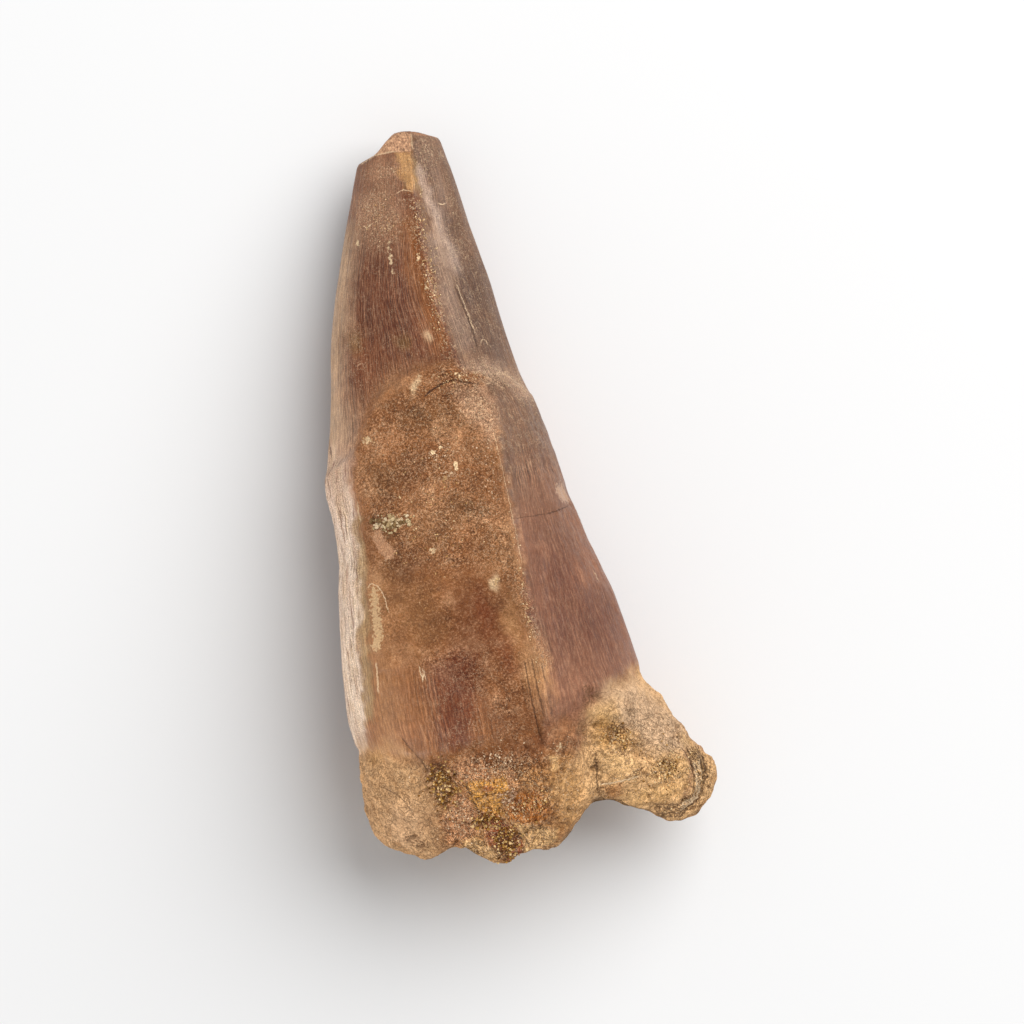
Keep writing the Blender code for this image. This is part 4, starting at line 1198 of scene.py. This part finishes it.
# the grains of sand on the tooth, which make one joined mesh
sandGrains = {
    "seed": 11,
    "sunk": 0.38,  # how much of a grain is below the surface
    "uneven": (0.4, 0.22),  # how far a grain's corners go in and out
    "stretch": (0.6, 1.3),
    "crowding": 0.6,  # how much closer than its spread a cluster keeps
    "dropFrom": 40.0,  # the height that grains fall from on to the tooth
    # across, along, spread across, spread along, grains, smallest and largest radius, colours
    "clusters": [
        (-3.54, 32.64, 0, 0, 1, 0.27, 0.27, "cream"), (-4.47, 32.32, 0, 0, 1, 0.15, 0.15, "cream"),
        (-2.02, 31.4, 0, 0, 1, 0.24, 0.24, "cream"), (-1.98, 31.15, 0, 0, 1, 0.2, 0.2, "cream"),
        (-2.93, 32.93, 0, 0, 1, 0.15, 0.15, "cream"), (-2.95, 30.54, 0, 0, 1, 0.19, 0.19, "cream"),
        (-5.05, 25.2, 0, 0, 1, 0.14, 0.14, "cream"), (-0.4, 21.95, 0.25, 0.25, 6, 0.1, 0.16, "cream"),
        (-2.9, 32.4, 1.3, 0.8, 60, 0.03, 0.09, "crumb"),
        (-2.6, 30.8, 0.6, 0.4, 40, 0.04, 0.1, "crumb"),
        (0.2, 35.8, 0.9, 1.2, 90, 0.03, 0.08, "crumb"),
        (0.6, 30.0, 0.8, 3.0, 70, 0.03, 0.08, "crumb"),
        (-7.7, 27.8, 1.3, 0.55, 110, 0.07, 0.24, "lump"),
        (-7.3, 7.1, 0.9, 1.7, 260, 0.05, 0.15, "pit"),
        (-4.6, 3.7, 1.0, 0.6, 110, 0.06, 0.16, "pit"),
        (-3.2, 1.8, 1.0, 1.4, 260, 0.05, 0.14, "pit"),
        (-2.3, 5.2, 0.7, 0.6, 55, 0.06, 0.15, "quartz"),
        (-2.1, 4.0, 0.5, 0.4, 14, 0.07, 0.14, "cream"),
        (-0.9, 4.3, 1.3, 0.9, 90, 0.04, 0.12, "amber"),
        (-3.5, 7.6, 2.6, 0.7, 300, 0.025, 0.075, "crumb"),
        (-6.3, 4.2, 0.9, 1.6, 260, 0.03, 0.075, "crumb"),
        (-4.0, 4.5, 3.4, 3.4, 500, 0.03, 0.08, "crumb"),
        (8.6, 6.5, 3.4, 3.0, 400, 0.025, 0.07, "crumb"),
        (-1.0, 1.9, 1.6, 0.8, 120, 0.025, 0.06, "crumb"),
        (2.4, 5.0, 1.4, 2.4, 160, 0.025, 0.06, "crumb"),
        (8.6, 10.0, 2.2, 1.8, 160, 0.025, 0.06, "crumb"),
        (10.2, 5.1, 0.9, 0.8, 130, 0.04, 0.12, "amber"),
        (6.9, 8.2, 1.1, 0.8, 110, 0.04, 0.12, "amber"),
        (10.0, 4.5, 3.2, 2.2, 200, 0.03, 0.09, "amber"),
        (-1.4, 47.0, 0.55, 5.0, 300, 0.03, 0.085, "cream"),
        (-4.6, 51.5, 1.4, 1.6, 60, 0.03, 0.07, "cream"),
        (-0.6, 38.0, 1.8, 0.6, 50, 0.04, 0.11, "cream"),
        (1.5, 19.5, 0.3, 5.0, 60, 0.04, 0.11, "cream"),
        (-8.4, 34.5, 0.4, 0.3, 10, 0.04, 0.1, "cream"),
        (-4.5, 28.0, 4.0, 6.0, 160, 0.03, 0.09, "amber"),
        (-3.4, 8.6, 3.4, 1.0, 150, 0.03, 0.08, "crumb"),
    ],
    "tints": {
        "cream": [(0.80, 0.60, 0.38), (0.62, 0.42, 0.23), (0.46, 0.28, 0.14)],
        "crumb": [(0.62, 0.43, 0.28), (0.44, 0.27, 0.16), (0.72, 0.54, 0.38)],
        "lump": [(0.56, 0.44, 0.27), (0.42, 0.31, 0.17), (0.68, 0.55, 0.38), (0.18, 0.11, 0.05)],
        "pit": [(0.56, 0.36, 0.14), (0.28, 0.13, 0.03), (0.14, 0.06, 0.012), (0.42, 0.23, 0.06),
                (0.78, 0.56, 0.29)],
        "amber": [(0.66, 0.44, 0.20), (0.48, 0.28, 0.10), (0.20, 0.10, 0.03), (0.76, 0.58, 0.34)],
        "quartz": [(0.53, 0.35, 0.25), (0.36, 0.20, 0.12), (0.61, 0.44, 0.30)],
    },
}


def roundGrain():
    # the corners and faces of a small ball of radius 1
    bm = bmesh.new()
    bmesh.ops.create_icosphere(bm, subdivisions=1, radius=1.0)
    corners = [vert.co.copy() for vert in bm.verts]
    faces = [[vert.index for vert in face.verts] for face in bm.faces]
    bm.free()
    return corners, faces


def makeGrains(surface):
    rng = random.Random(sandGrains["seed"])
    mesh = surface.data
    places = [vert.co for vert in mesh.vertices]
    tree = BVHTree.FromPolygons(places, [face.vertices[:] for face in mesh.polygons])
    ballCorners, ballFaces = roundGrain()
    deep, proud = sandGrains["uneven"]
    corners, faces, tints = [], [], []
    for x, y, spreadX, spreadY, count, smallest, largest, tintName in sandGrains["clusters"]:
        for _ in range(count):
            across = rng.gauss(x, spreadX * sandGrains["crowding"])
            along = rng.gauss(y, spreadY * sandGrains["crowding"]) - tooth["length"] / 2
            start = Vector((across, along, sandGrains["dropFrom"])) * mm
            hit, normal, _, _ = tree.ray_cast(start, Vector((0, 0, -1)))
            if hit is None or normal.z < 0.1:
                continue
            radius = (smallest + (largest - smallest) * rng.random() ** 2) * mm
            turn = Euler([rng.uniform(0, 6.28) for _ in range(3)]).to_matrix()
            shape = turn @ Matrix.Diagonal([radius * rng.uniform(*sandGrains["stretch"]) for _ in range(3)])
            middle = hit + normal * radius * (1 - 2 * sandGrains["sunk"])
            colour = rng.choice(sandGrains["tints"][tintName])
            first = len(corners)
            corners += [middle + shape @ corner * (1 + rng.uniform(-deep, proud)) for corner in ballCorners]
            faces += [[first + corner for corner in face] for face in ballFaces]
            tints += [(*colour, 1.0)] * len(ballCorners)
    grains = bpy.data.meshes.new("sandGrains")
    grains.from_pydata(corners, [], faces)
    tintData = grains.attributes.new("tint", "FLOAT_COLOR", "POINT").data
    tintData.foreach_set("color", np.array(tints, np.float32).ravel())
    result = bpy.data.objects.new("sandGrains", grains)
    bpy.context.scene.collection.objects.link(result)
    print("sand grains:", len(corners) // len(ballCorners))
    return result


def grainMaterial():
    look = looks["sand"]
    material, tree, shader = newMaterial("phosphate sand")
    place = inMillimetres(tree)
    tint = attribute(tree, "tint", "Color")
    cloud = grainNoise(tree, place, look["clouds"], 3.0)
    shade = blend(tree, ramp(tree, cloud, 0.35, 0.65), (0.6, 0.55, 0.48, 1), (1.15, 1.12, 1.05, 1))
    plug(tree, blend(tree, 1.0, tint, shade, "MULTIPLY"), shader.inputs["Base Color"])
    bump = addNode(tree, "ShaderNodeBump", None, Height=times(tree, cloud, look["depth"]), Distance=mm)
    plug(tree, bump.outputs["Normal"], shader.inputs["Normal"])
    plug(tree, ramp(tree, cloud, 0.3, 0.7, *look["roughness"]), shader.inputs["Roughness"])
    shader.inputs["Specular IOR Level"].default_value = look["specular"]
    return material


# the camera, the floor and the soft light
studio = {
    "lookAt": (1.684, -1.988, 8.0),  # millimetres
    "roll": -10.0,
    "distance": 700.0,
    "viewWidth": 80.4,
    "floorSize": 6.0,
    "floorBelow": 0.03,  # millimetres that the floor lies under the tooth
    "floorGrey": 0.82,
    "worldStrength": 0.5,
    # lights: degrees round from the view's right, degrees up from the floor, distance, size, watts
    "lights": {
        "key": (46.0, 43.5, 1.0, 1.15, 13.1),
        "fill": (218.0, 24.0, 1.0, 0.8, 7.5),
    },
}


def makeCamera():
    data = bpy.data.cameras.new("camera")
    data.sensor_width = 36.0
    data.lens = data.sensor_width * studio["distance"] / studio["viewWidth"]
    camera = bpy.data.objects.new("camera", data)
    x, y, z = studio["lookAt"]
    camera.location = Vector((x, y, z + studio["distance"])) * mm
    camera.rotation_euler = (0.0, 0.0, math.radians(studio["roll"]))
    bpy.context.scene.collection.objects.link(camera)
    bpy.context.scene.camera = camera


def makeFloor():
    bpy.ops.mesh.primitive_plane_add(size=studio["floorSize"], location=(0, 0, -studio["floorBelow"] * mm))
    floor = bpy.context.object
    floor.name = "floor"
    material, _, shader = newMaterial("pale floor")
    grey = studio["floorGrey"]
    shader.inputs["Base Color"].default_value = (grey, grey, grey, 1)
    shader.inputs["Roughness"].default_value = 0.9
    shader.inputs["Specular IOR Level"].default_value = 0.1
    floor.data.materials.append(material)


def makeLights(pieces):
    world = bpy.data.worlds.new("studio")
    world.use_nodes = True
    background = world.node_tree.nodes["Background"]
    background.inputs["Color"].default_value = (1, 1, 1, 1)
    background.inputs["Strength"].default_value = studio["worldStrength"]
    bpy.context.scene.world = world
    for name, (side, up, distance, size, watts) in studio["lights"].items():
        side, up = math.radians(side + studio["roll"]), math.radians(up)
        towards = Vector((math.cos(up) * math.cos(side), math.cos(up) * math.sin(side), math.sin(up)))
        data = bpy.data.lights.new(name, "AREA")
        data.shape = "DISK"
        data.size = size
        data.energy = watts
        light = bpy.data.objects.new(name, data)
        light.location = towards * distance
        light.rotation_euler = towards.to_track_quat("Z", "Y").to_euler()
        bpy.context.scene.collection.objects.link(light)
        if name == "fill":  # lifts the tooth's shaded side, and leaves the shadow on the floor alone
            lit = bpy.data.collections.new("lit by the fill")
            for piece in pieces:
                lit.objects.link(piece)
            light.light_linking.receiver_collection = lit
    bpy.context.scene.view_settings.view_transform = "Standard"


makeCamera()
makeFloor()

toothSurface = makeTooth()
toothSurface.data.materials.append(toothMaterial())
grainPiece = makeGrains(toothSurface)
grainPiece.data.materials.append(grainMaterial())
pieces = [toothSurface, grainPiece]
for piece in pieces:
    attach(piece, "root")
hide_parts("tooth")
makeLights(pieces)
print("camera, floor and lights set")
